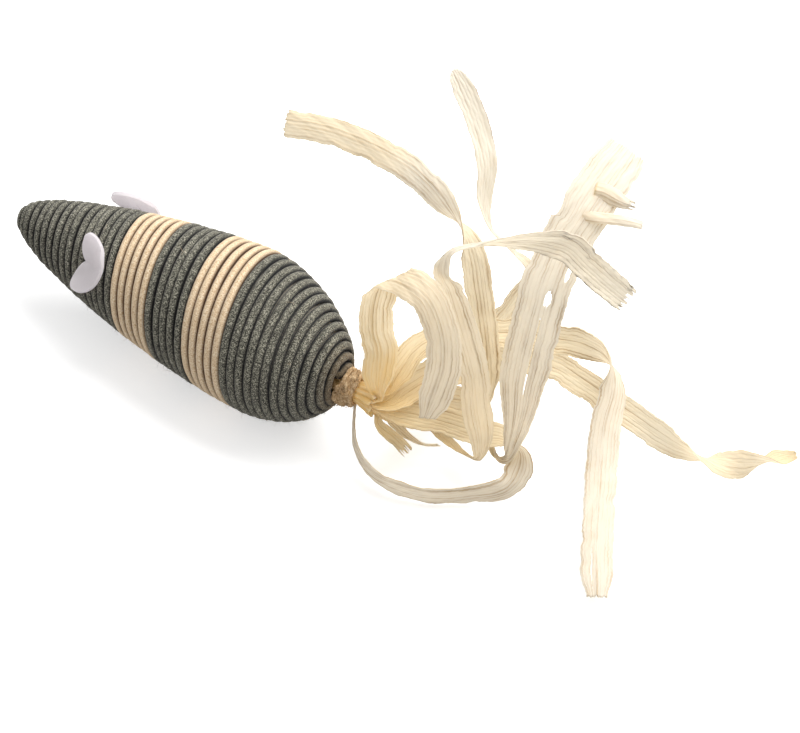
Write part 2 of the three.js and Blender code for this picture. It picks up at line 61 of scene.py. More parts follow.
# %% [markdown]
# ## The camera
# The toy was photographed from above its near side, with a long lens, so its lines run almost
# parallel. A camera can be aimed by eye or placed by numbers. It is placed by numbers here, because
# every leaf of the tail was then set by where it shows in the picture.

# %% Place the camera
CAMERA_TURN = math.radians(32.18)
CAMERA_RISE = math.radians(50.04)
CAMERA_PLACE = (0.20094, -0.25885, 0.39264)
CAMERA_ANGLE = math.radians(20)
CAMERA_NEAREST = 0.01

bpy.ops.object.select_all(action="DESELECT")
camera_turns = (math.pi / 2 - CAMERA_RISE, 0, CAMERA_TURN)
bpy.ops.object.camera_add(location=CAMERA_PLACE, rotation=camera_turns)
camera = bpy.context.object
camera.data.sensor_fit = "HORIZONTAL"
camera.data.angle = CAMERA_ANGLE
camera.data.clip_start = CAMERA_NEAREST
bpy.context.scene.camera = camera
print("camera lens in mm:", round(camera.data.lens, 1))

# %% [markdown]
# ## Sums on shader sockets
# A finish is a sum of patterns: streaks plus ribs, less the wear at an edge. Each sum could be wired
# node by node. It is easier to read as Python, so one small class holds a socket and turns the usual
# signs into Math nodes. Its node method adds any other node.


# %% A socket that takes part in sums
class Wire:
    """A socket in a material's tree. Signs between wires and numbers add Math nodes."""

    def __init__(self, tree, socket=None):
        self.tree = tree
        self.socket = socket

    def node(self, kind, settings=None, sockets=None, out=0):
        made = self.tree.nodes.new(kind)
        for name, value in (settings or {}).items():
            if name == "stops":
                set_stops(made.color_ramp, value)
            else:
                setattr(made, name, value)
        for key, value in (sockets or {}).items():
            if isinstance(value, Wire):
                self.tree.links.new(value.socket, made.inputs[key])
            else:
                made.inputs[key].default_value = value
        return Wire(self.tree, made.outputs[out] if made.outputs else None)

    def sum(self, operation, first, second, held=False):
        settings = {"operation": operation, "use_clamp": held}
        return self.node("ShaderNodeMath", settings, {0: first, 1: second})

    def __add__(self, other):
        return self.sum("ADD", self, other)

    __radd__ = __add__

    def __sub__(self, other):
        return self.sum("SUBTRACT", self, other)

    def __rsub__(self, other):
        return self.sum("SUBTRACT", other, self)

    def __mul__(self, other):
        return self.sum("MULTIPLY", self, other)

    def held(self):
        """The same value, kept between 0 and 1."""
        return self.sum("ADD", self, 0.0, held=True)


def set_stops(ramp, stops):
    while len(ramp.elements) > 1:
        ramp.elements.remove(ramp.elements[-1])
    for i, (place, colour) in enumerate(stops):
        stop = ramp.elements[0] if i == 0 else ramp.elements.new(place)
        stop.position = place
        stop.color = colour


def linear(red, green, blue):
    """A colour as a screen shows it, 0 to 255, as the linear colour that a shader takes."""
    shares = [c / 255 for c in (red, green, blue)]
    flat = [c / 12.92 if c <= 0.04045 else ((c + 0.055) / 1.055) ** 2.4 for c in shares]
    return (*flat, 1.0)


print("sums can be written on sockets")


# %% Patterns, colours and shaders
def start_finish(name):
    """A new material with an empty tree, and a wire to begin with."""
    material = bpy.data.materials.new(name)
    material.use_nodes = True
    material.node_tree.nodes.clear()
    return material, Wire(material.node_tree)


def end_finish(wire, shader):
    wire.node("ShaderNodeOutputMaterial", None, {"Surface": shader})


def mixed(wire, share, first, second):
    """Two colours, mixed by a share from 0 to 1."""
    settings = {"data_type": "RGBA", "clamp_factor": True}
    return wire.node("ShaderNodeMix", settings, {0: share, 6: first, 7: second}, out=2)


def noise(wire, place, scale, detail=2.0, roughness=0.5, distortion=0.0):
    sockets = {"Vector": place, "Scale": scale, "Detail": detail, "Roughness": roughness}
    sockets["Distortion"] = distortion
    return wire.node("ShaderNodeTexNoise", None, sockets)


def stretched(wire, place, scale):
    """A pattern's coordinates, scaled by its own amount on each axis."""
    return wire.node("ShaderNodeMapping", None, {"Vector": place, "Scale": scale})


def bumped(wire, height, distance, strength):
    sockets = {"Height": height, "Distance": distance, "Strength": strength}
    return wire.node("ShaderNodeBump", None, sockets)


def stored(wire, name):
    """A value that a piece's mesh keeps for each point."""
    return wire.node("ShaderNodeAttribute", {"attribute_name": name}, None, out=2)


def on_object(wire):
    return wire.node("ShaderNodeTexCoord", None, None, out=3)


def on_map(wire, name):
    return wire.node("ShaderNodeUVMap", {"uv_map": name})


def surface(wire, colour, roughness, normal, shine, sheen=None):
    """A matt Principled shader. Sheen is its weight and roughness, where fibres stand off."""
    sockets = {
        "Base Color": colour,
        "Roughness": roughness,
        "Normal": normal,
        "Specular IOR Level": shine,
    }
    if sheen:
        sockets["Sheen Weight"], sockets["Sheen Roughness"] = sheen
    return wire.node("ShaderNodeBsdfPrincipled", None, sockets)


def lit_through(wire, share, front, through):
    """A shader that lets a share of the light through from behind, in the colour through."""
    glow = wire.node("ShaderNodeBsdfTranslucent", None, {"Color": through})
    return wire.node("ShaderNodeMixShader", None, {0: share, 1: front, 2: glow})


print("helpers for finishes are ready")

# %% [markdown]
# ## The husk's finish
# Dried corn husk is papery and ribbed lengthwise. Its ribs are pale, the fine grooves between them
# are tan, near the tie it keeps a warm yellow, and free ends are bleached. It is thin enough for light
# to come through: a leaf with nothing behind it looks almost white. A Principled shader alone stays
# opaque, so it is mixed with a Translucent one, less in the grooves and more near the tie. The mesh
# stores where each groove, root and bleached end is, so that colour and shape agree.

# %% Mix the husk's finish
FINE_STREAKS = (0.8, 30.0, 1.0)
BROAD_STREAKS = (0.5, 6.0, 1.0)
BLOTCHES = (2.2, 3.0, 1.0)
BLEACHED_COLOUR = linear(254, 251, 245)
BLOTCH_COLOUR = linear(232, 208, 160)


def husk_finish(name, pale, groove_colour, root_colour, through):
    material, wire = start_finish(name)
    leaf = on_map(wire, "leaf")
    groove, root, bleached = (stored(wire, kept) for kept in ("groove", "root", "bleached"))
    fine = noise(wire, stretched(wire, leaf, FINE_STREAKS), 1.0, 3.0, 0.6)
    broad = noise(wire, stretched(wire, leaf, BROAD_STREAKS), 1.0, 2.0)
    blotch = noise(wire, stretched(wire, leaf, BLOTCHES), 1.0, 3.0)
    lines = groove * (1.1 + (blotch - 0.5) * 1.6)
    lines = (lines + (fine - 0.54) * 1.7 + (broad - 0.56) * 1.2).held()
    colour = mixed(wire, bleached, pale, BLEACHED_COLOUR)
    colour = mixed(wire, (root * (0.8 + (fine - 0.5) * 1.2)).held(), colour, root_colour)
    colour = mixed(wire, ((blotch - 0.56) * 2.2).held() * 0.45, colour, BLOTCH_COLOUR)
    line_share = lines * (0.84 - bleached * 0.34 - root * 0.45).held()
    colour = mixed(wire, line_share, colour, groove_colour)
    ribs = bumped(wire, fine * 0.6 - groove * 0.4, 0.00012, 0.7)
    paper = surface(wire, colour, 0.5 + (1.0 - fine) * 0.25, ribs, 0.28)
    light_share = (0.58 - lines * 0.5 + root * 0.22).held()
    end_finish(wire, lit_through(wire, light_share, paper, through))
    return material


husk_outside = husk_finish(
    "husk_outside", linear(248, 234, 203), linear(170, 132, 74), linear(255, 212, 104),
    linear(255, 249, 234),
)
husk_inside = husk_finish(
    "husk_inside", linear(255, 249, 237), linear(184, 152, 100), linear(255, 224, 138),
    linear(255, 251, 243),
)
print("husk finishes:", husk_outside.name, husk_inside.name)

# %% [markdown]
# ## Small tools for shapes
# Leaves, cord, ears and throat share a few steps: lengths along a line, soft steps, seeded wandering,
# values kept on a mesh, a sheet made thick. Each is written once here. What a piece moves with and
# the CAD nodes that it stands for are also told in one place.


# %% Lines, steps and wandering
def unit(vectors):
    return vectors / np.linalg.norm(vectors, axis=-1, keepdims=True)


def distances(points):
    """How far along a line each of its points is."""
    return np.concatenate([[0], np.cumsum(np.linalg.norm(np.diff(points, axis=0), axis=1))])


def between(at, known, rows):
    """Rows of numbers, read between the places where they are known."""
    return np.column_stack([np.interp(at, known, column) for column in rows.T])


def wander(values, seed, lengths):
    """A smooth random line between about -1 and 1: sines of the given lengths, seeded."""
    draw = np.random.default_rng(seed)
    total = sum(np.sin(2 * np.pi * (values / length + draw.random())) for length in lengths)
    return total / len(lengths) ** 0.5 / 1.4


def smooth_step(values, start, end):
    share = np.clip((values - start) / (end - start), 0, 1)
    return share * share * (3 - 2 * share)


print("tools for lines are ready")


# %% Steps on meshes
def make_active(piece):
    bpy.ops.object.select_all(action="DESELECT")
    piece.select_set(True)
    bpy.context.view_layer.objects.active = piece


def store(mesh, name, values):
    kept = mesh.attributes.new(name, "FLOAT", "POINT")
    kept.data.foreach_set("value", np.ascontiguousarray(values, np.float32))


def set_points(mesh, points):
    mesh.vertices.foreach_set("co", np.ascontiguousarray(points, np.float32).ravel())
    mesh.update()


def set_map(mesh, layer, places):
    """Fills a map from one place for each point of the mesh."""
    corners = np.empty(len(mesh.loops), np.int32)
    mesh.loops.foreach_get("vertex_index", corners)
    layer.data.foreach_set("uv", places[corners].astype(np.float32).ravel())


def start_circle(name, points):
    """A circle with all its points selected, ready to be extruded."""
    bpy.ops.object.select_all(action="DESELECT")
    bpy.ops.mesh.primitive_circle_add(vertices=points, radius=1)
    piece = bpy.context.object
    piece.name = name
    bpy.ops.object.mode_set(mode="EDIT")
    bpy.ops.mesh.select_all(action="SELECT")
    return piece


def face_outward():
    bpy.ops.object.mode_set(mode="EDIT")
    bpy.ops.mesh.select_all(action="SELECT")
    bpy.ops.mesh.normals_make_consistent(inside=False)
    bpy.ops.object.mode_set(mode="OBJECT")


def thicken(piece, thickness, material_offset=0):
    bpy.ops.object.modifier_add(type="SOLIDIFY")
    solidify = piece.modifiers[-1]
    solidify.thickness = thickness * MM
    solidify.offset = 0
    solidify.material_offset = material_offset
    bpy.ops.object.modifier_apply(modifier=solidify.name)


def new_piece(name, points, faces):
    """A new object with a map for the cord's finishes, from points in mm and faces."""
    mesh = bpy.data.meshes.new(name)
    mesh.from_pydata((points * MM).tolist(), [], faces)
    mesh.uv_layers.new(name="cord")
    piece = bpy.data.objects.new(name, mesh)
    bpy.context.collection.objects.link(piece)
    return piece


def belongs(piece, body, slot, *nodes):
    """The piece moves with a body, and stands for the CAD nodes if any. Its slot is not used."""
    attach(piece, body)
    if nodes:
        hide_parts(*nodes)


print("tools for meshes are ready")

# %% [markdown]
# ## A leaf along its route
# Each strip of the tail is a flat stiff cord with a curl of its own. The route of its middle line is
# a short list of points, with the leaf's roll about it at each point, and one smooth curve runs
# through them. The leaf itself starts as a flat grid, as one would cut it from a husk: its length
# lies along the route, and its width goes across. Solidify then gives it a thickness, with the paler
# inner face on the other side.

# %% A smooth line through a route
axis_low, axis_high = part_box("tail_throat")
THROAT_END = np.array([
    axis_high.x, (axis_low.y + axis_high.y) / 2, (axis_low.z + axis_high.z) / 2,
]) / MM
SHOWN_FACE = np.array([0.34, -0.54, 0.77])
FINE_STEPS = 3000
ROLL_BLEND = 4


def curve_through(points, shares):
    """Points of a centripetal Catmull-Rom curve, which runs through all the given points."""
    ends = [2 * points[0] - points[1]], [2 * points[-1] - points[-2]]
    knots = np.vstack([ends[0], points, ends[1]])
    spans = len(points) - 1
    at = np.clip(shares * spans, 0, spans - 1e-9)
    index = at.astype(int)
    step = (at - index)[:, None]
    p0, p1, p2, p3 = (knots[index + k] for k in range(4))

    def root_gap(a, b):
        return np.sqrt(np.linalg.norm(b - a, axis=1))[:, None]

    d0, d1, d2 = root_gap(p0, p1), root_gap(p1, p2), root_gap(p2, p3)
    leave = ((p1 - p0) / d0 - (p2 - p0) / (d0 + d1) + (p2 - p1) / d1) * d1
    arrive = ((p2 - p1) / d1 - (p3 - p1) / (d1 + d2) + (p3 - p2) / d2) * d1
    square = -3 * p1 + 3 * p2 - 2 * leave - arrive
    cube = 2 * p1 - 2 * p2 + leave + arrive
    return p1 + leave * step + square * step**2 + cube * step**3


def leaf_line(route):
    """The middle line of a leaf, its length, and the leaf's face and width directions along it."""
    route = np.asarray(route, float)
    shares = np.linspace(0, 1, FINE_STEPS)
    line = curve_through(route[:, :3] + THROAT_END, shares)
    along = distances(line)
    even = np.linspace(0, along[-1], FINE_STEPS)
    line = between(even, along, line)
    at_route = np.interp(even, along, shares * (len(route) - 1))
    roll = np.interp(at_route, np.arange(len(route)), route[:, 3])
    window = np.hanning(int(FINE_STEPS * ROLL_BLEND / along[-1]) | 1)
    padded = np.pad(roll, len(window) // 2, mode="edge")
    roll = np.radians(np.convolve(padded, window / window.sum(), mode="valid"))[:, None]
    ahead = unit(np.gradient(line, axis=0))
    facing = unit(SHOWN_FACE - (ahead @ SHOWN_FACE)[:, None] * ahead)
    face = facing * np.cos(roll) + np.cross(ahead, facing) * np.sin(roll)
    return {"line": line, "length": along[-1], "face": face, "across": np.cross(ahead, face)}


print("the tail's throat ends at", THROAT_END.round(2), "mm")

# %% [markdown]
# ## Cutting and ribbing the leaf
# A husk's ribs run its whole length, some strong and some faint. Its edges are torn along the ribs, so
# they are ragged in small steps, and its ends are cut, torn or pointed. All of this is shaped on the
# grid's points, since the eye follows those edges first. The leaf is gathered into a fold at its root.

# %% A leaf's width, edges, end and grooves
LEAF_TAPER = 6.0
LEAF_ROOT_WIDTH = 2.5
LEAF_SPREAD = 7.0
LEAF_RAGGED = 0.08
LEAF_NICKS = 9
NICK_PLACES = (12, 140)
NICK_RUNS = (0.8, 3.5)
NICK_DEPTHS = (0.5, 1.6)
ROUND_END = 2.6
FRAYED_END = 2.2
SLANTED_END = 1.6
CUT_END = 0.35
GROOVE_SPACING = 0.8
GROOVE_WIDTH = 0.17


def leaf_width(along, length, leaf):
    root = leaf.get("root", LEAF_ROOT_WIDTH)
    gathered = leaf.get("gathered", 0.0)
    opened = smooth_step(along, gathered, gathered + leaf.get("spread", LEAF_SPREAD))
    drawn_in = smooth_step(length - along, 0, LEAF_TAPER)
    return (root + (leaf["width"] - root) * opened) * (leaf["tip"] + (1 - leaf["tip"]) * drawn_in)


def torn_edge(along, side, leaf):
    """How far the leaf reaches to one side, as a share of its half width."""
    seed = leaf["seed"] * 10 + side
    ragged = leaf.get("ragged", LEAF_RAGGED)
    reach = 1 - ragged * (0.6 + 0.6 * wander(along, seed, (23.0, 7.1, 2.9, 1.3)))
    draw = np.random.default_rng(seed)
    for _ in range(LEAF_NICKS):
        at = draw.uniform(*NICK_PLACES)
        run = draw.uniform(*NICK_RUNS)
        depth = draw.uniform(*NICK_DEPTHS) * ragged
        nick = smooth_step(along, at, at + 0.35) * (1 - smooth_step(along, at + run, at + run + 1.2))
        reach = reach - depth * nick
    return reach


def cut_back(across, leaf):
    """How far the leaf's end stops short of its full length, in mm, across the leaf."""
    kind = leaf.get("end", "cut")
    jag = wander(across, leaf["seed"] + 7, (0.9, 0.37, 0.16))
    if kind == "round":
        return ROUND_END * (1 - np.sqrt(np.clip(1 - 0.96 * across**2, 0, 1))) + 0.1 * jag
    if kind == "fray":
        return FRAYED_END * (0.5 + 0.5 * np.sign(jag) * np.abs(jag) ** 0.5)
    if kind == "slant":
        return SLANTED_END * (0.5 + 0.5 * across) + 0.3 * np.abs(jag)
    return CUT_END * (1 + jag)


def groove_depth(across_mm, along, leaf):
    """Depth of the grooves, 0 on the ribs and up to 1 in a groove."""
    place = across_mm / GROOVE_SPACING + 0.22 * wander(across_mm, leaf["seed"] + 3, (2.7, 1.1))
    place = place + 0.18 * wander(along, leaf["seed"] + 4, (61.0, 27.0))
    strong = 0.72 + 0.28 * wander(np.round(place), leaf["seed"] + 5, (3.7, 2.3))
    from_groove = place - np.round(place)
    return strong * np.exp(-((from_groove / GROOVE_WIDTH) ** 2))


print("leaves are about", GROOVE_SPACING, "mm from groove to groove")

# %% Tear a leaf and make it thick
LEAF_THICKNESS = 0.22


def tear_out(piece, along, across, tears):
    """Deletes the faces inside each tear: middle along, middle across, half length and half width."""
    if not tears:
        return
    bpy.context.tool_settings.mesh_select_mode = (False, False, True)
    bpy.ops.object.mode_set(mode="EDIT")
    bpy.ops.mesh.select_all(action="DESELECT")
    bpy.ops.object.mode_set(mode="OBJECT")
    for face in piece.data.polygons:
        middle = along[list(face.vertices)].mean()
        side = across[list(face.vertices)].mean()
        face.select = any(
            ((middle - a) / run) ** 2 + ((side - c) / half) ** 2 < 1 for a, c, run, half in tears
        )
    bpy.ops.object.mode_set(mode="EDIT")
    bpy.ops.mesh.delete(type="FACE")
    bpy.ops.object.mode_set(mode="OBJECT")
    bpy.context.tool_settings.mesh_select_mode = (True, False, False)


def finish_leaf(piece):
    piece.data.materials.append(husk_outside)
    piece.data.materials.append(husk_inside)
    thicken(piece, LEAF_THICKNESS, material_offset=1)
    bpy.ops.object.shade_smooth()


print("leaves are", LEAF_THICKNESS, "mm thick")

# %% Lay a leaf along its route
LEAF_CUP = 0.08
ROOT_CUP = 0.22
ROOT_CUP_RUN = 5.0
LEAF_PLEAT = 0.16
LEAF_CRINKLE = 0.07
GROOVE_DEPTH = 0.15
GOLDEN_RUN = 7.5
BLEACHED_END = 0.3
GRID_ALONG = 0.55
GRID_ACROSS = 0.15
UV_UNIT = 10.0


def leaf_height(along, across, across_mm, wide, groove, seed):
    """How far the leaf stands off its middle line: cupped, folded at its root, pleated, ribbed."""
    cup = (LEAF_CUP + ROOT_CUP * np.exp(-along / ROOT_CUP_RUN)) * wide * (1 - across**2)
    pleat = LEAF_PLEAT * wander(along + 3 * across_mm, seed + 1, (19.0, 8.3)) * np.abs(across)
    crinkle = LEAF_CRINKLE * wander(along * 0.6 + 1.7 * across_mm, seed + 2, (4.1, 1.9))
    return pleat + crinkle - cup - GROOVE_DEPTH * groove


def lay_leaf(leaf):
    """Makes one leaf from a grid, and returns its object and the line that it follows."""
    way = leaf_line(leaf["route"])
    length = way["length"]
    bpy.ops.object.select_all(action="DESELECT")
    bpy.ops.mesh.primitive_grid_add(
        x_subdivisions=int(length / GRID_ALONG),
        y_subdivisions=int(leaf["width"] / GRID_ACROSS),
        size=2,
    )
    piece = bpy.context.object
    piece.name = leaf["name"] + "_leaf"
    mesh = piece.data
    flat = np.array([v.co for v in mesh.vertices])
    across = -flat[:, 1]
    along = (flat[:, 0] + 1) / 2 * (length - cut_back(across, leaf))
    at = along / length * (FINE_STEPS - 1)
    line, sideways, face = (
        between(at, np.arange(FINE_STEPS), way[key]) for key in ("line", "across", "face")
    )
    wide = leaf_width(along, length, leaf)
    reach = np.where(across > 0, torn_edge(along, 1, leaf), torn_edge(along, 2, leaf))
    across_mm = across * reach * wide / 2
    across_flat = across * leaf["width"] / 2
    groove = groove_depth(across_flat, along, leaf)
    height = leaf_height(along, across, across_mm, wide, groove, leaf["seed"])
    place = line + across_mm[:, None] * sideways + height[:, None] * face
    set_points(mesh, place * MM)
    golden = np.exp(-along / leaf.get("golden", GOLDEN_RUN))
    golden_end = leaf.get("golden_end", 0) * smooth_step(along / length, 0.7, 0.8)
    bleached = leaf.get("bleached", BLEACHED_END) * smooth_step(along / length, 0.3, 0.75)
    store(mesh, "groove", groove)
    store(mesh, "root", np.maximum(golden, golden_end))
    store(mesh, "bleached", bleached)
    mesh.uv_layers[0].name = "leaf"
    flat_map = np.column_stack([along, across_flat]) / UV_UNIT + leaf["seed"]
    set_map(mesh, mesh.uv_layers[0], flat_map)
    tear_out(piece, along, across, leaf.get("tears", ()))
    finish_leaf(piece)
    print(piece.name, "is", round(length, 1), "mm long and", leaf["width"], "mm wide")
    return piece, way


print("leaves have a point every", GRID_ALONG, "by", GRID_ACROSS, "mm")

# %% [markdown]
# ## The strips of the tail
# Ten strips come out of the tie, and two shreds hang from the broad one. Each route below is measured
# in mm from the middle of the throat's end, and its last number is the leaf's roll in degrees. A leaf
# may stay gathered for some mm and then spread, keep its golden root for longer, or have a paler end.
# Two bits are short and count as trim: the frayed end at the neck and the thin sliver under the ring.
# Two bits are too short for that and count as trim.

# %% Routes of the strips
LEAVES = [
    dict(name="husk_arch", width=7.5, tip=0.45, seed=11, end="slant", golden=28, route=[
        (0.6, -1.2, 2.2, -35), (1.4, -1.2, 2.5, -30), (0.4, 0.1, 5.5, -20), (-1.5, 4.9, 10, -8),
        (-3, 5.6, 15, 0), (-3, 6.6, 24, 10), (-1, 7.1, 29.5, 75), (4, 6.1, 34, 165),
        (10, 4.6, 34.5, 180), (14.5, 2.6, 29.5, 180), (16.5, 0.6, 21, 185), (16, -1.9, 13, 195),
        (15.5, -4.9, 8, 200),
    ]),
    dict(
        name="husk_crook", width=6.6, tip=0.9, gathered=33, spread=16, seed=12, end="fray",
        golden=36, bleached=0.8, route=[
            (0.6, -1.2, -1.1, -35), (1.5, -1.2, -1.2, -35), (4, 0.4, -3.8, -20),
            (6.5, 7.1, -8.5, -10), (12.5, 7.6, -12, -10), (18, 6.1, -12, -60),
            (23.5, 3.6, -8, -130), (25, 2.6, 0, -170), (22, 5.6, 5, -178), (19, 9.1, 11, -180),
            (15.5, 10.1, 22, -200), (11.5, 12.1, 30, -225), (10, 11.1, 37, -245),
            (10.5, 13.1, 40, -258), (15, 16.1, 42, -268), (20, 19.1, 43, -285),
            (25.5, 22.6, 43, -310), (30, 26.1, 41, -345), (34, 28.1, 36, -360),
            (38.5, 30.6, 30, -360), (42, 33.1, 25, -355),
        ],
    ),
    dict(name="husk_leaner", width=6.2, tip=1, seed=13, golden_end=0.35, route=[
        (0.6, 1.2, 1.1, -35), (1.5, 1.4, 1.1, -35), (3.6, 4.6, -0.6, -15), (11.5, 11.6, -4, 0),
        (16, 14.6, -5.5, 35), (18.5, 16.6, -4, 80), (17.5, 18.6, 0.5, 20), (16, 19.1, 9, 5),
        (13.5, 20.1, 21, 0), (11, 21.6, 31, 20), (7.5, 22.6, 38, 80), (1.5, 24.1, 41, 150),
        (-7, 26.1, 43, 175), (-15.5, 26.6, 44, 180), (-25.5, 27.1, 43, 185), (-32.5, 26.6, 42, 185),
        (-38.5, 25.6, 41, 180),
    ]),
    dict(name="husk_top", width=5, tip=0.7, seed=14, end="round", bleached=0.9, route=[
        (0.6, 1.2, -2.2, -35), (1.5, 1.4, -2.5, -35), (2.4, 5.6, -3.4, -20), (4, 20.6, -6, 0),
        (7, 30.6, -7, 10), (9, 40.6, -5, 25), (11, 46.1, 4, 60), (8.5, 42.1, 14, 80),
        (5.5, 38.6, 22, 75), (3, 39.6, 28, 50), (1.5, 42.6, 35, 25), (-2, 45.6, 40, 10),
        (-6.5, 48.1, 45.2, 0), (-12, 50.6, 49.8, 0),
    ]),
    dict(name="husk_ring", width=6.4, tip=0.4, seed=15, far_end="object", route=[
        (0.6, -1.2, 0, -35), (1.5, -1.3, -0.1, -35), (7, 1.6, -1.5, 0), (14, 5.6, -4, 0),
        (22, 8.1, -5, -10), (27, 10.6, -6, -50), (31, 10.1, -7.5, -110), (32, 7.6, -10, -160),
        (31, 2.6, -12, -215), (25, -2.4, -13, -235), (18, -6.9, -13.5, -240), (11, -8.9, -13, -240),
        (4.5, -8.9, -12, -250), (-0.5, -6.4, -10, -262), (-2.5, -3.9, -6.5, -268),
        (-3.8, -1.6, -2.1, -268),
    ]),
    dict(
        name="husk_broad", width=11, tip=0.85, gathered=35, spread=28, seed=16, ragged=0.06,
        tears=[(83, -0.62, 2.4, 0.08), (76, -0.2, 1.7, 0.14), (63, -0.12, 9, 0.035)], golden=16,
        bleached=0.45, route=[
            (0.6, 1.2, -0.4, -35), (1.5, 1.2, -0.6, -35), (4, 3, -2.6, -15), (9, 7.6, -6.5, 0),
            (16, 10.1, -9.5, 5), (21.5, 11.1, -10.5, 30), (25.5, 8.1, -10.5, 80),
            (29.5, 5.6, -6, 130), (30.5, 6.1, -0.5, 160), (29.5, 10.1, 4, 172), (28, 13.6, 9, 177),
            (27, 19.1, 19, 180), (26, 25.6, 28, 185), (26, 32.1, 34, 180), (27, 38.6, 39, 180),
            (27.5, 45.6, 42, 175), (28, 54.6, 44, 175),
        ],
    ),
    dict(
        name="husk_droop", width=7.2, tip=0.6, seed=17, tears=[(107, -0.35, 5, 0.05)], bleached=0.3,
        route=[
            (0.6, 1.2, 2.2, -35), (1.5, 1.5, 2.3, -35), (2.5, 5, 5.5, -20), (3, 10, 7.5, -35),
            (4.5, 15.1, 8, -45), (7, 20.6, 7.5, -40), (12, 25.1, 5, -25), (18.5, 29.6, 4, -10),
            (25.5, 33.1, 3, 0), (31.5, 35.6, 2, 25), (36.5, 35.6, 0.5, 75), (40, 33.1, -3.5, 150),
            (42.5, 26.1, -8, 175), (46, 18.6, -11.5, 180), (51, 8.6, -13, 180),
            (56.5, -2.4, -14, 180), (61, -10.4, -14.5, 180),
        ],
    ),
    dict(name="husk_long", width=6.8, tip=0.25, seed=18, golden_end=0.35, route=[
        (0.6, -1.2, 1.1, -35), (1.5, -1.2, 1, -35), (3.6, 0.3, 1.6, -20), (5, 4.2, 2, -5),
        (8, 11.1, 2.5, 0), (12.5, 18.6, 0, 0), (17.5, 28.1, -4, 0), (24.5, 34.1, -7, 0),
        (34, 34.1, -9, 0), (45, 33.1, -10.5, 0), (55.5, 32.1, -12, 30), (64, 32.1, -12.5, 100),
        (70.5, 35.1, -12.5, 190), (75.5, 40.6, -13, 280), (80, 45.1, -13.5, 360),
    ]),
]
TRIM = [
    dict(name="husk_tie_end", width=3, tip=1, seed=19, end="fray", root=1.4, golden=16, route=[
        (0.6, -1.2, -2.2, -35), (1.5, -1.3, -2.6, -32), (2.5, -2.3, -4.1, -20), (5, -2.2, -6.2, 20),
        (7, -1.6, -8.2, 20), (10, -1.9, -10, 20),
    ]),
    dict(name="husk_sliver", width=2.6, tip=0.5, seed=20, root=1.4, route=[
        (0.6, 0.7, -3.3, -35), (1.6, 0.8, -3.7, -35), (4, 2.7, -9, 20), (7.5, 2.1, -10, 60),
        (11.5, 1.6, -9.5, 75), (15, 2.1, -8, 80),
    ]),
]
SHREDS = [
    dict(name="husk_shred_upper", width=3.6, root=3.6, tip=0.5, seed=21, end="fray", route=[
        (27, 42.6, 41.5, 176), (29, 43.1, 41.5, 176), (32.5, 43.6, 40.5, 176),
        (35.5, 45.1, 39, 170),
    ]),
    dict(name="husk_shred_lower", width=2.4, root=2.4, tip=0.8, seed=22, route=[
        (27, 37.6, 38.5, 176), (30, 38.1, 39, 176), (34.5, 40.6, 38.5, 176), (38.5, 43.1, 37, 170),
    ]),
]
print(len(LEAVES), "strips,", len(TRIM), "bits of trim and", len(SHREDS), "shreds have routes")

# %% Lay the strips
CORD_POINTS = 40
NO_GOLD = 0.01

for leaf in SHREDS:
    shred, _ = lay_leaf({**leaf, "golden": NO_GOLD})
    belongs(shred, "tail", "husk")

for leaf in LEAVES:
    strip, way = lay_leaf(leaf)
    belongs(strip, "tail", "husk", leaf["name"])
    picked = np.linspace(0, FINE_STEPS - 1, CORD_POINTS).astype(int)
    path = way["line"][picked] * MM
    way["length"] * MM

for leaf in TRIM:
    bit, _ = lay_leaf(leaf)
    belongs(bit, "tail", "husk", leaf["name"])

# %% [markdown]
# ## The cord's finishes
# The cord is spun paper: matt, with short fibres that lie along the twist. Its grey is a heather of
# dark and pale specks, and its beige has soft tan flecks. The specks follow the object, so they don't
# stretch where the cord bends, and the twist follows the cord's own map. Where one turn meets the
# next, the cord's sides are painted dark: painted shade between the turns.

# %% Mix the cord's finishes
SPECK_SCALE = 3800.0
FLECK_SCALE = 3000.0
PATCH_SCALE = 260.0
CORD_TWIST = (9.0, 3.0, 1.0)


def cord_finish(name, dark, middle, pale, fleck, fleck_share, groove, worn_colour):
    material, wire = start_finish(name)
    spot = on_object(wire)
    speck = noise(wire, spot, SPECK_SCALE, 2.0, 0.7)
    patch = noise(wire, spot, PATCH_SCALE, 2.0)
    twist = noise(wire, stretched(wire, on_map(wire, "cord"), CORD_TWIST), 1.0, 2.0, 0.6, 0.4)
    share = speck + (patch - 0.5) * 0.06 + (twist - 0.5) * 0.12
    stops = [(0.36, dark), (0.5, middle), (0.66, pale)]
    colour = wire.node("ShaderNodeValToRGB", {"stops": stops}, {"Fac": share})
    flecks = noise(wire, spot, FLECK_SCALE, 1.0)
    colour = mixed(wire, ((flecks - (1 - fleck_share)) * 14.0).held() * 0.6, colour, fleck)
    colour = mixed(wire, (stored(wire, "worn") * (0.4 + patch * 0.7)).held(), colour, worn_colour)
    # Painted shade: the sides that turn in towards the next turn are darkened to the groove colour.
    unshaded_crest = ((stored(wire, "unshaded_crest") - 0.38) * 1.9).held()
    colour = mixed(wire, unshaded_crest, groove, colour)
    fibres = bumped(wire, speck * 0.6 + twist * 0.6, 0.00012, 0.8)
    roughness = 0.85 + (speck - 0.5) * 0.2
    end_finish(wire, surface(wire, colour, roughness, fibres, 0.2, sheen=(0.1, 0.6)))
    return material


# The colour before the worn one is the painted shade in the grooves between turns.
grey_paper = cord_finish(
    "grey_paper", linear(32, 31, 27), linear(88, 86, 76), linear(184, 180, 162),
    linear(222, 217, 200), 0.33, linear(9, 9, 8), linear(118, 100, 76),
)
beige_paper = cord_finish(
    "beige_paper", linear(196, 164, 126), linear(228, 202, 166), linear(245, 229, 203),
    linear(164, 122, 82), 0.28, linear(92, 64, 40), linear(164, 130, 92),
)
print("cord finishes:", grey_paper.name, beige_paper.name)

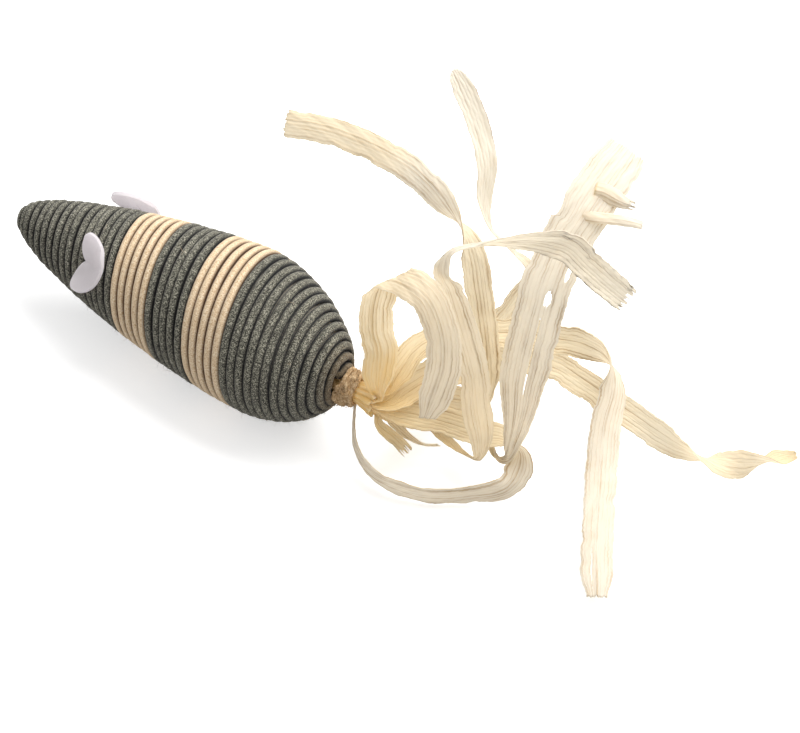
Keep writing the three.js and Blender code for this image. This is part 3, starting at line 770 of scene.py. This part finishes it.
# %% [markdown]
# ## The winding
# One cord lies turn by turn on the egg, from the nose to the neck, and is joined where its colour
# changes. It could be a stack of rings, but real turns climb, and their slant shows. So the cord's
# line goes so far along the egg's outline for each turn, with each turn leaning a little. The egg is
# the CAD part's, with its nose drawn slightly further and the lean slightly stronger. The cord is
# drawn at its full thickness, so that the turns all but touch, and it is flat where the mouse lies.

# %% The egg's outline
BODY_LENGTH = 90.0
BODY_RADIUS = 17.5
WIDEST_AT = 62.0
NOSE_FULLNESS = 8.9
SHOULDER_RUN = 14.0
RUMP_RUN = 17.0
RUMP_FULLNESS = 8.6
NOSE_REACH = 1.2
NOSE_RUN = 22.0
RUMP_BEND = -THROAT_END[1]
BEND_FROM = 58.0
BEND_TO = 86.0
NECK_BEYOND = 1.5
THROAT_FROM = 3.2
CAD_THROAT_LENGTH = 2.5
THROAT_FROM_NOSE = BODY_LENGTH + NECK_BEYOND + THROAT_FROM + CAD_THROAT_LENGTH
ORIGIN_STATION = THROAT_FROM_NOSE - THROAT_END[0]
AXIS_HEIGHT = THROAT_END[2]


def bezier(p0, p1, p2, p3, steps):
    t = np.linspace(0, 1, steps)[:, None]
    p0, p1, p2, p3 = (np.array(p, float) for p in (p0, p1, p2, p3))
    return p0 * (1 - t) ** 3 + 3 * p1 * t * (1 - t) ** 2 + 3 * p2 * t**2 * (1 - t) + p3 * t**3


def egg_outline(inset):
    """Station and radius along an outline inside the egg's, how far along, and its slope."""
    radius = BODY_RADIUS - inset
    end = BODY_LENGTH - inset
    rise = bezier(
        (inset, 0), (inset, NOSE_FULLNESS - inset / 2),
        (WIDEST_AT - SHOULDER_RUN, radius), (WIDEST_AT, radius), 1000,
    )
    rump = bezier(
        (WIDEST_AT, radius), (WIDEST_AT + RUMP_RUN, radius),
        (end, RUMP_FULLNESS - inset / 2), (end, 0), 600,
    )
    line = np.vstack([rise, rump[1:]])
    along = distances(line)
    return line, along, unit(np.gradient(line, along, axis=0))


print("the egg is", BODY_LENGTH, "by", 2 * BODY_RADIUS, "mm")

# %% The cord's line on the egg
CAD_CORD_RADIUS = 0.75
PITCH = 2.15
FIRST_TURN_RADIUS = 1.75
LAST_TURN_RADIUS = 4.3
TURN_SLANT = 2.9
SLANT_PEAK = 0.38
SLANT_ANGLE = math.radians(125)
START_ANGLE = math.pi + 5.5 * math.pi / 8

outline, outline_along, outline_slope = egg_outline(CAD_CORD_RADIUS)
outline_length = outline_along[-1]
first_turn_at = outline_along[np.argmax(outline[:, 1] > FIRST_TURN_RADIUS)]


def turns_to(radius):
    """Turns from the first one to where the rump has drawn in to this radius."""
    past_widest = outline[:, 0] > WIDEST_AT
    return (outline_along[np.argmax(past_widest & (outline[:, 1] < radius))] - first_turn_at) / PITCH


def heading(forward, outward, angle):
    """Directions by their shares along the axis and away from it, at angles from the top."""
    return np.column_stack([forward + 0 * angle, -outward * np.sin(angle), outward * np.cos(angle)])


def on_body(station, radius, angle):
    """Points in the part's frame: stations along the axis, radii, and angles from the top."""
    reach = NOSE_REACH * (1 - smooth_step(station, 0, NOSE_RUN))
    points = heading(station - reach - ORIGIN_STATION, radius, angle)
    points[:, 1] -= RUMP_BEND * smooth_step(station, BEND_FROM, BEND_TO)
    points[:, 2] += AXIS_HEIGHT
    return points


def cord_line(turns, lift, sway=0.0):
    """The cord's line and its outward direction at so many turns from the start."""
    angle = START_ANGLE + turns * 2 * np.pi
    middle = first_turn_at + PITCH * turns
    wave = np.interp(middle / outline_length, (0, SLANT_PEAK, 1), (0, 0.5, 1))
    lean = TURN_SLANT * np.sin(np.pi * wave)
    along = middle + lean * np.cos(angle - SLANT_ANGLE) + sway
    station, radius = between(along, outline_along, outline).T
    slope_x, slope_r = between(along, outline_along, outline_slope).T
    outward = heading(-slope_r, slope_x, angle)
    return on_body(station, radius, angle) + outward * np.asarray(lift)[..., None], outward


all_turns = int(turns_to(LAST_TURN_RADIUS))
print("turns of cord:", all_turns, "on an outline of", round(outline_length, 1), "mm")

# %% A tube round a line
CORD_SIDES = 14
FLOOR_LEVEL = 0.02


def tube(name, line, outward, half_wide, half_high, square=2.0):
    """A tube with half its width across the line and half its height outward, along the line."""
    count = len(line)
    ahead = unit(np.gradient(line, axis=0))
    out = unit(outward - np.sum(outward * ahead, axis=1, keepdims=True) * ahead)
    across = np.cross(ahead, out)
    turn = 2 * np.pi * np.arange(CORD_SIDES) / CORD_SIDES
    shape_x, shape_y = (
        np.sign(wave) * np.abs(wave) ** (2 / square) for wave in (np.cos(turn), np.sin(turn))
    )
    rings = line[:, None, :] + half_wide[:, None, None] * shape_x[None, :, None] * across[:, None, :]
    rings = rings + half_high[:, None, None] * shape_y[None, :, None] * out[:, None, :]
    rings[:, :, 2] = np.maximum(rings[:, :, 2], FLOOR_LEVEL)
    low = np.arange(count - 1)[:, None] * CORD_SIDES
    high = low + CORD_SIDES
    side = np.arange(CORD_SIDES)[None, :]
    after = (side + 1) % CORD_SIDES
    faces = np.stack([low + side, low + after, high + after, high + side], axis=-1)
    last = (count - 1) * CORD_SIDES
    caps = [list(range(CORD_SIDES))[::-1], [last + k for k in range(CORD_SIDES)]]
    piece = new_piece(name, rings.reshape(-1, 3), faces.reshape(-1, 4).tolist() + caps)
    share = np.arange(CORD_SIDES + 1) / CORD_SIDES
    grid = np.stack(np.meshgrid(distances(line) / UV_UNIT, share, indexing="ij"), axis=-1)
    sheet = np.stack([grid[:-1, :-1], grid[:-1, 1:], grid[1:, 1:], grid[1:, :-1]], axis=2)
    whole_map = np.vstack([sheet.reshape(-1, 2), np.zeros((2 * CORD_SIDES, 2))])
    piece.data.uv_layers[0].data.foreach_set("uv", whole_map.astype(np.float32).ravel())
    # Each point keeps how far it faces outward, 1 on the crest and 0 on the inner half; the cord's
    # finish paints shade where this is low.
    store(piece.data, "unshaded_crest", np.tile(np.clip(np.sin(turn), 0, 1), count))
    make_active(piece)
    bpy.ops.object.shade_smooth()
    return piece


print("a tube has", CORD_SIDES, "sides")

# %% Wind the cord, band by band
SHOWN_CORD_RADIUS = 1.045
SHOWN_CORD_HEIGHT = 1.02
CORD_SQUARENESS = 2.05
SHOWN_LAST_RADIUS = 3.3
TIP_TURN = -0.74
WORN_TURNS = 3.0
TURN_STEPS = 96
SWAY = 0.16
RISE_AND_FALL = 0.07
UNEVEN = 0.03
UNEVEN_WHERE_WORN = 0.09
TUCK_STEP = 0.9


def tucked(line, outward):
    """Adds an end that turns in under the neighbouring turn, out of sight."""
    inward = np.array([-0.9, 0, 0]) - outward[-1] * 0.6
    ends = [line[-1] + inward * k * TUCK_STEP for k in (1, 2)]
    return np.vstack([line, ends]), np.vstack([outward, outward[-1:], outward[-1:]])


shown_turns = turns_to(SHOWN_LAST_RADIUS)
BANDS = [
    ("cord_grey_nose", "grey_cord", grey_paper, TIP_TURN, 16),
    ("cord_beige_front", "beige_cord", beige_paper, 16, 21),
    ("cord_grey_middle", "grey_cord", grey_paper, 21, 26),
    ("cord_beige_rear", "beige_cord", beige_paper, 26, 31),
    ("cord_grey_rump", "grey_cord", grey_paper, 31, shown_turns),
]
for number, (name, slot, paper, from_turn, to_turn) in enumerate(BANDS):
    turns = np.linspace(from_turn, to_turn, int((to_turn - from_turn) * TURN_STEPS) + 1)
    sway = SWAY * wander(turns, 31, (3.1, 1.37, 0.71, 0.43))
    lift = CAD_CORD_RADIUS - SHOWN_CORD_HEIGHT + RISE_AND_FALL * wander(turns, 32, (2.3, 1.21, 0.57))
    line, outward = cord_line(turns, lift, sway)
    if to_turn == shown_turns:
        line, outward = tucked(line, outward)
    turn_here = from_turn + np.arange(len(line)) / TURN_STEPS
    worn = smooth_step(turn_here, shown_turns - WORN_TURNS, shown_turns)
    uneven = UNEVEN + UNEVEN_WHERE_WORN * worn
    thick = 1 + uneven * wander(turn_here, 33 + number, (0.37, 0.11, 0.05))
    winding = tube(
        name + "_wound", line, outward, SHOWN_CORD_RADIUS * thick, SHOWN_CORD_HEIGHT * thick,
        CORD_SQUARENESS,
    )
    store(winding.data, "worn", np.repeat(worn, CORD_SIDES))
    winding.data.materials.append(paper)
    belongs(winding, "mouse", slot, name)
    print(winding.name, "has", round(to_turn - from_turn, 1), "turns")

# %% [markdown]
# ## Felt for the ears
# The ears are bits of pale felt, glued at the front edge. Felt has no weave: short fibres lie every
# way, so its surface is softly clouded, and some light comes through.


# %% Mix the felt
def felt_finish():
    material, wire = start_finish("pale_felt")
    spot = on_object(wire)
    fibre = noise(wire, spot, 2600.0, 4.0, 0.7, 1.5)
    cloud = noise(wire, spot, 420.0, 3.0)
    share = ((fibre - 0.4) * 2.0 + (cloud - 0.5) * 1.2).held()
    colour = mixed(wire, share, linear(236, 231, 233), linear(252, 250, 251))
    nap = bumped(wire, fibre * 0.6 + cloud, 0.00025, 0.5)
    felt = surface(wire, colour, 0.95 + (cloud - 0.5) * 0.1, nap, 0.15, sheen=(0.3, 0.5))
    light_share = 0.52 + (cloud - 0.5) * 0.2
    end_finish(wire, lit_through(wire, light_share, felt, linear(252, 248, 250)))
    return material


pale_felt = felt_finish()
print("felt:", pale_felt.name)

# %% [markdown]
# ## The ears
# Each ear is a kidney with one large and one small lobe, pinched at its front so that the lobes curl
# up. It starts as a circle that is drawn in ring by ring, as a seamstress marks a round of cloth. The
# rings are then pulled out to the kidney's outline, curled and creased, and given the felt's
# thickness. The far ear lies flatter, and its small lobe is fuller.

# %% An ear's outline and its place on the body
EAR_LARGE_LOBE = 7.3
EAR_SMALL_LOBE = 6.4
EAR_DEPTH = 7.9
EAR_NOTCH = 2.6
EAR_SEAT = 0.35


def ear_outline(side, fuller):
    """The kidney's outline. A fuller ear has its small lobe cut that much further forward."""
    large = EAR_LARGE_LOBE * side
    small = -(EAR_SMALL_LOBE + fuller / 4) * side
    front = EAR_NOTCH
    lobe = (small * 0.8, front * 0.75 - fuller)
    parts = [
        bezier((0, front), (large * 0.15, front * 0.6), (large * 0.35, 0.5), (large * 0.55, 0.2), 40),
        bezier((large * 0.55, 0.2), (large * 1.2, -0.6), (large * 1.1, EAR_DEPTH), (0, EAR_DEPTH), 90),
        bezier((0, EAR_DEPTH), (small * 0.8, EAR_DEPTH), (small * 1.3, front - fuller), lobe, 90),
        bezier(lobe, (small * 0.53, lobe[1] - 0.8), (small * 0.27, lobe[1] - 0.6), (0, front), 40),
    ]
    return np.vstack([part[:-1] for part in parts])


def turned_about(vector, axis, degrees):
    angle = math.radians(degrees)
    along = axis * (axis @ vector)
    return along + (vector - along) * math.cos(angle) + np.cross(axis, vector) * math.sin(angle)


def ear_frame(at, angle, turn, lean):
    """Where an ear's front edge is, and its directions across, back and outward."""
    skin, _, slope = egg_outline(0)
    index = np.argmax(skin[:, 0] > at)
    around = np.array([math.radians(angle)])
    outward = heading(-slope[index, 1], slope[index, 0], around)[0]
    back = turned_about(heading(slope[index, 0], slope[index, 1], around)[0], outward, turn)
    across = unit(np.cross(back, outward))
    back = turned_about(back, across, lean)
    place = on_body(skin[index, 0], skin[index, 1], around)[0] + outward * EAR_SEAT
    return place, across, back, np.cross(across, back)


print("an ear is", EAR_LARGE_LOBE + EAR_SMALL_LOBE, "by", EAR_DEPTH, "mm")

# %% Shape the ears
EAR_THICKNESS = 1.0
EAR_EDGE = 0.32
EAR_EDGE_ANGLE = math.radians(50)
EAR_RIM = 96
EAR_RINGS = 14
EAR_MIDDLE = 5.2
EAR_CREASE = 0.55
EAR_CREASE_WIDTH = 0.9
EAR_RIPPLE = 0.14


def felt_ear(name, side, seed, at, angle, turn, lean, curl_height, fuller):
    ear = start_circle(name, EAR_RIM)
    for ring in range(EAR_RINGS - 1, 0, -1):
        size = ring / (ring + 1)
        bpy.ops.mesh.extrude_region_move()
        bpy.ops.transform.resize(value=(size, size, size))
    bpy.ops.mesh.extrude_region_move()
    bpy.ops.mesh.merge(type="CENTER")
    bpy.ops.object.mode_set(mode="OBJECT")
    flat = np.array([v.co for v in ear.data.vertices])
    rim = ear_outline(side, fuller) - (0, EAR_MIDDLE)
    rim_turn = np.arctan2(rim[:, 1], rim[:, 0])
    order = np.argsort(rim_turn)
    reach = np.linalg.norm(rim, axis=1)
    turn_here = np.arctan2(flat[:, 1], flat[:, 0])
    out_to = np.interp(turn_here, rim_turn[order], reach[order], period=2 * np.pi)
    share = np.linalg.norm(flat[:, :2], axis=1)
    x = share * out_to * np.cos(turn_here)
    y = share * out_to * np.sin(turn_here) + EAR_MIDDLE
    curl = curl_height * (x / EAR_LARGE_LOBE) ** 2 * (1 - y / EAR_DEPTH)
    pinch = np.exp(-((x / EAR_CREASE_WIDTH) ** 2)) * smooth_step(-y, -EAR_MIDDLE - 1, -EAR_NOTCH)
    ripple = EAR_RIPPLE * wander(x * 0.9 + y * 0.4, seed, (6.1, 3.7)) * share
    z = curl - EAR_CREASE * pinch + ripple + EAR_THICKNESS / 2
    place, across, back, face = ear_frame(at, angle, turn, lean)
    points = place + x[:, None] * across + y[:, None] * back + z[:, None] * face
    set_points(ear.data, points * MM)
    ear.data.materials.append(pale_felt)
    face_outward()
    thicken(ear, EAR_THICKNESS)
    bpy.ops.object.modifier_add(type="BEVEL")
    bevel = ear.modifiers[-1]
    bevel.width = EAR_EDGE * MM
    bevel.segments = 3
    bevel.limit_method = "ANGLE"
    bevel.angle_limit = EAR_EDGE_ANGLE
    bpy.ops.object.modifier_apply(modifier=bevel.name)
    bpy.ops.object.shade_smooth()
    print(name, "stands at", place.round(1), "mm")
    return ear


near_ear = felt_ear(
    "ear_near_felt", 1, 41, at=24.0, angle=50.6, turn=11.5, lean=1, curl_height=1.8, fuller=0,
)
belongs(near_ear, "near_ear", "felt", "ear_near")
far_ear = felt_ear(
    "ear_far_felt", -1, 42, at=21.1, angle=-71, turn=-14, lean=7.5, curl_height=0.2, fuller=2.2,
)
belongs(far_ear, "far_ear", "felt", "ear_far")

# %% [markdown]
# ## The tie
# A brown paper string goes round the neck and holds the husk, wound from the rump's last turn
# outwards and knotted on the near side. It has gone soft and frayed. It is a tube that follows the
# tie's turns, drawn fuller than on the CAD part, with a wandering line. The knot is a tube along a
# trefoil, which is the form of a real overhand knot, and loose fibres stand off both.


# %% Mix the string's finish
def string_finish():
    material, wire = start_finish("brown_string")
    strand = noise(wire, stretched(wire, on_map(wire, "cord"), (14.0, 5.0, 1.0)), 1.0, 3.0, 0.6, 0.6)
    speck = noise(wire, on_object(wire), 2400.0, 3.0, 0.7)
    stops = [(0.34, linear(126, 98, 70)), (0.5, linear(196, 164, 124)), (0.66, linear(240, 216, 178))]
    colour = wire.node("ShaderNodeValToRGB", {"stops": stops}, {"Fac": strand * 0.5 + speck * 0.5})
    strands = bumped(wire, strand + speck * 0.5, 0.0003, 0.9)
    end_finish(wire, surface(wire, colour, 0.85 + (speck - 0.5) * 0.2, strands, 0.2))
    return material


brown_string = string_finish()
print("string:", brown_string.name)

# %% Wind the tie and its knot
TIE_FROM = BODY_LENGTH - 0.2
TIE_TO = BODY_LENGTH + 2.9
TIE_FIRST_RADIUS = 4.0
TIE_LAST_RADIUS = 2.9
TIE_THICK = 0.6
TIE_TURNS = 4.3
TIE_STEPS = 260
TIE_START_ANGLE = 1.2
KNOT_STATION = BODY_LENGTH + 1.2
KNOT_ANGLE = math.radians(48)
KNOT_OUT = 3.9
KNOT_SIZE = 0.42
KNOT_THICK = 0.62
KNOT_STEPS = 120

tie_turns = np.linspace(0, TIE_TURNS, TIE_STEPS)
tie_share = tie_turns / TIE_TURNS
tie_angle = tie_turns * 2 * np.pi + TIE_START_ANGLE
tie_radius = TIE_FIRST_RADIUS + (TIE_LAST_RADIUS - TIE_FIRST_RADIUS) * tie_share
tie_radius = tie_radius + 0.22 * wander(tie_turns, 51, (0.9, 0.41, 0.23))
tie_station = TIE_FROM + (TIE_TO - TIE_FROM) * tie_share + 0.25 * wander(tie_turns, 52, (0.7, 0.33))
tie_line = on_body(tie_station, tie_radius, tie_angle)
tie_out = heading(0.0, 1.0, tie_angle)
tie_thick = TIE_THICK * (1 + 0.2 * wander(tie_turns, 53, (0.31, 0.13, 0.07)))
tie = tube("tail_tie_string", tie_line, tie_out, tie_thick, tie_thick)

knot_turn = np.linspace(0, 2 * np.pi, KNOT_STEPS)
knot_along = KNOT_SIZE * (np.sin(knot_turn) + 2 * np.sin(2 * knot_turn))
knot_around = KNOT_SIZE * (np.cos(knot_turn) - 2 * np.cos(2 * knot_turn))
knot_rise = -1.6 * KNOT_SIZE * np.sin(3 * knot_turn)
knot_line = on_body(
    KNOT_STATION + knot_along, KNOT_OUT + knot_rise, KNOT_ANGLE + knot_around / KNOT_OUT,
)
knot_out = heading(0.0, 1.0, np.full(KNOT_STEPS, KNOT_ANGLE))
knot_thick = KNOT_THICK * (1 + 0.12 * wander(knot_turn, 54, (0.9, 0.41)))
knot = tube("tail_tie_knot", knot_line, knot_out, knot_thick, knot_thick)

neck_rump = Vector(on_body(TIE_FROM, 0.0, np.zeros(1))[0] * MM)
neck_tail = Vector(on_body(TIE_TO, 0.0, np.zeros(1))[0] * MM)
for piece in (tie, knot):
    piece.data.materials.append(brown_string)
    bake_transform(piece)
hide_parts("tail_tie")
print("the tie has", TIE_TURNS, "turns and a knot")

# %% [markdown]
# ## The gathered throat
# Behind the tie the strips are squeezed into pleats, and there the husk is golden. A circle is
# extruded along the tail into a short flared sleeve, and its points are then pushed in and out to make
# the pleats.

# %% Shape the throat
THROAT_RIM = 84
THROAT_STEPS = 12
THROAT_BACK = 4.3
THROAT_LENGTH = 4.9
THROAT_RADIUS = 2.2
THROAT_FLARE = 0.9
PLEATS = 13

throat = start_circle("tail_throat_pleats", THROAT_RIM)
for _ in range(THROAT_STEPS):
    bpy.ops.mesh.extrude_region_move(TRANSFORM_OT_translate={"value": (0, 0, 1)})
bpy.ops.object.mode_set(mode="OBJECT")
flat = np.array([v.co for v in throat.data.vertices])
share = flat[:, 2] / THROAT_STEPS
pleat_turn = np.arctan2(flat[:, 1], flat[:, 0])
pleat = np.cos(PLEATS * pleat_turn + 0.9 * wander(pleat_turn, 61, (2.1, 1.3)))
radius = THROAT_RADIUS + THROAT_FLARE * share**1.4 + (0.12 + 0.42 * share) * pleat
radius = radius + 0.2 * wander(pleat_turn * 2 + share, 62, (1.7, 0.9)) * share
run = THROAT_LENGTH * share + 0.6 * share * wander(pleat_turn, 63, (0.9, 0.43, 0.17))
station = ORIGIN_STATION + THROAT_END[0] - THROAT_BACK + run
set_points(throat.data, on_body(station, radius, pleat_turn) * MM)
# The pleats' valleys get more of the husk's tan groove colour: painted shade in the folds.
store(throat.data, "groove", 0.25 - 0.25 * pleat)
store(throat.data, "root", np.ones(len(flat)))
throat_map = throat.data.uv_layers.new(name="leaf")
set_map(throat.data, throat_map, np.column_stack([run, pleat_turn * 2.6]) / UV_UNIT)
face_outward()
finish_leaf(throat)
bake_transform(throat)
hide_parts("tail_throat")
print("the throat has", PLEATS, "pleats")

# %% [markdown]
# ## Stray fibres
# Spun paper sheds short hairs, and the cord's last turns at the neck have come loose. Each hair is a
# three-sided thread of a few faces, bent at random from a seed. The hairs of one band are joined as
# one piece, because a hair alone is no part of the toy.

# %% One mesh of threads
HAIR_JOINTS = 5
HAIR_CORNERS = (0, 2.094, 4.189)
HAIR_BEND = 0.55


def hairs(name, roots, outs, alongs, sizes, seed, thick, material):
    """One mesh of thin bent threads: their roots, outward and sideways directions, and sizes."""
    draw = np.random.default_rng(seed)
    points, faces = [], []
    for root, out, along, size in zip(roots, outs, alongs, sizes):
        bend = draw.normal(0, HAIR_BEND, (HAIR_JOINTS, 3))
        way = unit(out * draw.uniform(0.35, 1.0) + along * draw.normal(0, 1.0))
        spine = [root]
        for k in range(1, HAIR_JOINTS):
            way = unit(way + bend[k])
            spine.append(spine[-1] + way * size / (HAIR_JOINTS - 1))
        side_a = unit(np.cross(way, out + 0.1))
        side_b = unit(np.cross(way, side_a))
        base = len(points)
        for k, place in enumerate(spine):
            half = thick * (1 - 0.7 * k / (HAIR_JOINTS - 1))
            for turn in HAIR_CORNERS:
                points.append(place + half * (side_a * math.cos(turn) + side_b * math.sin(turn)))
        for k in range(HAIR_JOINTS - 1):
            for side in range(3):
                a, b = base + 3 * k + side, base + 3 * k + (side + 1) % 3
                faces.append((a, b, b + 3, a + 3))
        faces.append((base + 2, base + 1, base))
        tip = base + 3 * (HAIR_JOINTS - 1)
        faces.append((tip, tip + 1, tip + 2))
    piece = new_piece(name, np.array(points), faces)
    # Hairs are kept out of the cord's painted shade between turns.
    store(piece.data, "unshaded_crest", np.ones(len(points)))
    piece.data.materials.append(material)
    print(name, "has", len(roots), "threads")
    return piece


# %% Grow the fibres
HAIR_THICK = 0.035
HAIR_ROOT = CAD_CORD_RADIUS - 0.05
HAIR_ABOVE_FLOOR = 2.5
TIE_HAIR_THICK = 0.06
TIE_HAIRS = 240


def body_hairs(name, from_turn, to_turn, count, seed, material, slot, longest=2.0):
    draw = np.random.default_rng(seed)
    turns = draw.uniform(from_turn, to_turn, count)
    line, outward = cord_line(turns, HAIR_ROOT)
    ahead, _ = cord_line(turns + 0.01, HAIR_ROOT)
    keep = line[:, 2] > HAIR_ABOVE_FLOOR
    sizes = draw.uniform(0.3, 1.0, count) * longest
    fuzz = hairs(
        name, line[keep], outward[keep], unit(ahead - line)[keep], sizes[keep], seed + 1, HAIR_THICK,
        material,
    )
    belongs(fuzz, "mouse", slot)


body_hairs("fibres_nose", 1, 16, 260, 71, grey_paper, "grey_cord")
body_hairs("fibres_beige_front", 16.2, 21, 50, 72, beige_paper, "beige_cord")
body_hairs("fibres_middle", 21.2, 26, 110, 73, grey_paper, "grey_cord")
body_hairs("fibres_beige_rear", 26.2, 31, 60, 74, beige_paper, "beige_cord")
body_hairs("fibres_rump", 31.2, all_turns, 380, 75, grey_paper, "grey_cord")
body_hairs("fibres_stray", 4, all_turns - 2, 26, 78, beige_paper, "beige_cord", longest=5.0)

tie_draw = np.random.default_rng(76)
string_line = np.vstack([tie_line, knot_line])
string_out = np.vstack([tie_out, knot_out])
picked = tie_draw.integers(0, len(string_line), TIE_HAIRS)
string_ahead = unit(np.gradient(string_line, axis=0))
tie_fuzz = hairs(
    "fibres_tie", string_line[picked] + string_out[picked] * TIE_THICK * 0.8, string_out[picked],
    string_ahead[picked], tie_draw.uniform(0.8, 2.8, TIE_HAIRS), 77, TIE_HAIR_THICK, brown_string,
)
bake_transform(tie_fuzz)

# %% [markdown]
# ## Pieces that don't show
# Under the cord are the stuffing, the catnip in its bore and the glued root of the tail. They keep
# their CAD shapes, and still get a true finish each, since the part may be shown cut open.

# %% Finish the hidden pieces
FILLS = [
    ("core", "stuffing", (176, 168, 152), (220, 212, 198), 900.0, 0.0004),
    ("catnip_fill", "catnip", (70, 76, 40), (142, 148, 92), 1200.0, 0.0006),
    ("tail_root", "glued_husk", (180, 138, 78), (226, 190, 128), 700.0, 0.0003),
]
for node, name, dark, pale, scale, depth in FILLS:
    material, wire = start_finish(name)
    clump = noise(wire, on_object(wire), scale, 4.0, 0.65, 0.8)
    colour = mixed(wire, ((clump - 0.3) * 2.2).held(), linear(*dark), linear(*pale))
    crumbs = bumped(wire, clump, depth, 0.8)
    end_finish(wire, surface(wire, colour, 0.9 + (clump - 0.5) * 0.15, crumbs, 0.2))
    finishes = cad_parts[node].data.materials
    finishes.clear()
    finishes.append(material)
print("hidden pieces with a finish:", len(FILLS))

# %% [markdown]
# ## Floor and light
# The toy lies on a plain white floor in even light, as in a light tent: white all round, with one
# large soft lamp above its far side. The floor shows white to the camera and keeps the soft shadow.

# %% Floor
FLOOR_SIZE = 8
FLOOR_GLOW = 0.5
FLOOR_BOUNCE = 0.62
WHITE = (1, 1, 1, 1)

bpy.ops.object.select_all(action="DESELECT")
bpy.ops.mesh.primitive_plane_add(size=FLOOR_SIZE)
floor = bpy.context.object
floor.name = "floor"
floor_white, wire = start_finish("floor_white")
camera_ray = wire.node("ShaderNodeLightPath")
tint = noise(wire, on_object(wire), 3.0)
white = mixed(wire, tint, (0.94, 0.94, 0.94, 1), (0.95, 0.95, 0.95, 1))
white = mixed(wire, camera_ray, (FLOOR_BOUNCE, FLOOR_BOUNCE, FLOOR_BOUNCE, 1), white)
matt = wire.node("ShaderNodeBsdfDiffuse", None, {"Color": white})
glow = wire.node("ShaderNodeEmission", None, {"Color": WHITE, "Strength": camera_ray * FLOOR_GLOW})
end_finish(wire, wire.node("ShaderNodeAddShader", None, {0: matt, 1: glow}))
floor.data.materials.append(floor_white)
print("floor:", floor.name)

# %% World and lamp
ROOM_LIGHT = 0.53
KEY_WATTS = 6.2
KEY_SIZE = 0.6
KEY_PLACE = (0.14, 0.36, 0.56)
KEY_TURN = (math.radians(-33), math.radians(10), 0)

world = bpy.data.worlds.new("light_tent")
bpy.context.scene.world = world
world.use_nodes = True
world.node_tree.nodes.clear()
wire = Wire(world.node_tree)
camera_ray = wire.node("ShaderNodeLightPath")
rays = camera_ray.socket.node.outputs
seen = camera_ray + Wire(wire.tree, rays["Is Glossy Ray"]) + Wire(wire.tree, rays["Is Transmission Ray"])
lighting = wire.node("ShaderNodeBackground", None, {"Color": WHITE, "Strength": ROOM_LIGHT})
shown = wire.node("ShaderNodeBackground", None, {"Color": WHITE, "Strength": 1.0})
mixed_sky = wire.node("ShaderNodeMixShader", None, {0: seen.held(), 1: lighting, 2: shown})
wire.node("ShaderNodeOutputWorld", None, {"Surface": mixed_sky})

bpy.ops.object.light_add(type="AREA", location=KEY_PLACE)
key = bpy.context.object
key.name = "key_lamp"
key.data.shape = "SQUARE"
key.data.size = KEY_SIZE
key.data.energy = KEY_WATTS
key.rotation_euler = KEY_TURN

bpy.context.scene.view_settings.view_transform = "Standard"
print("light is set")
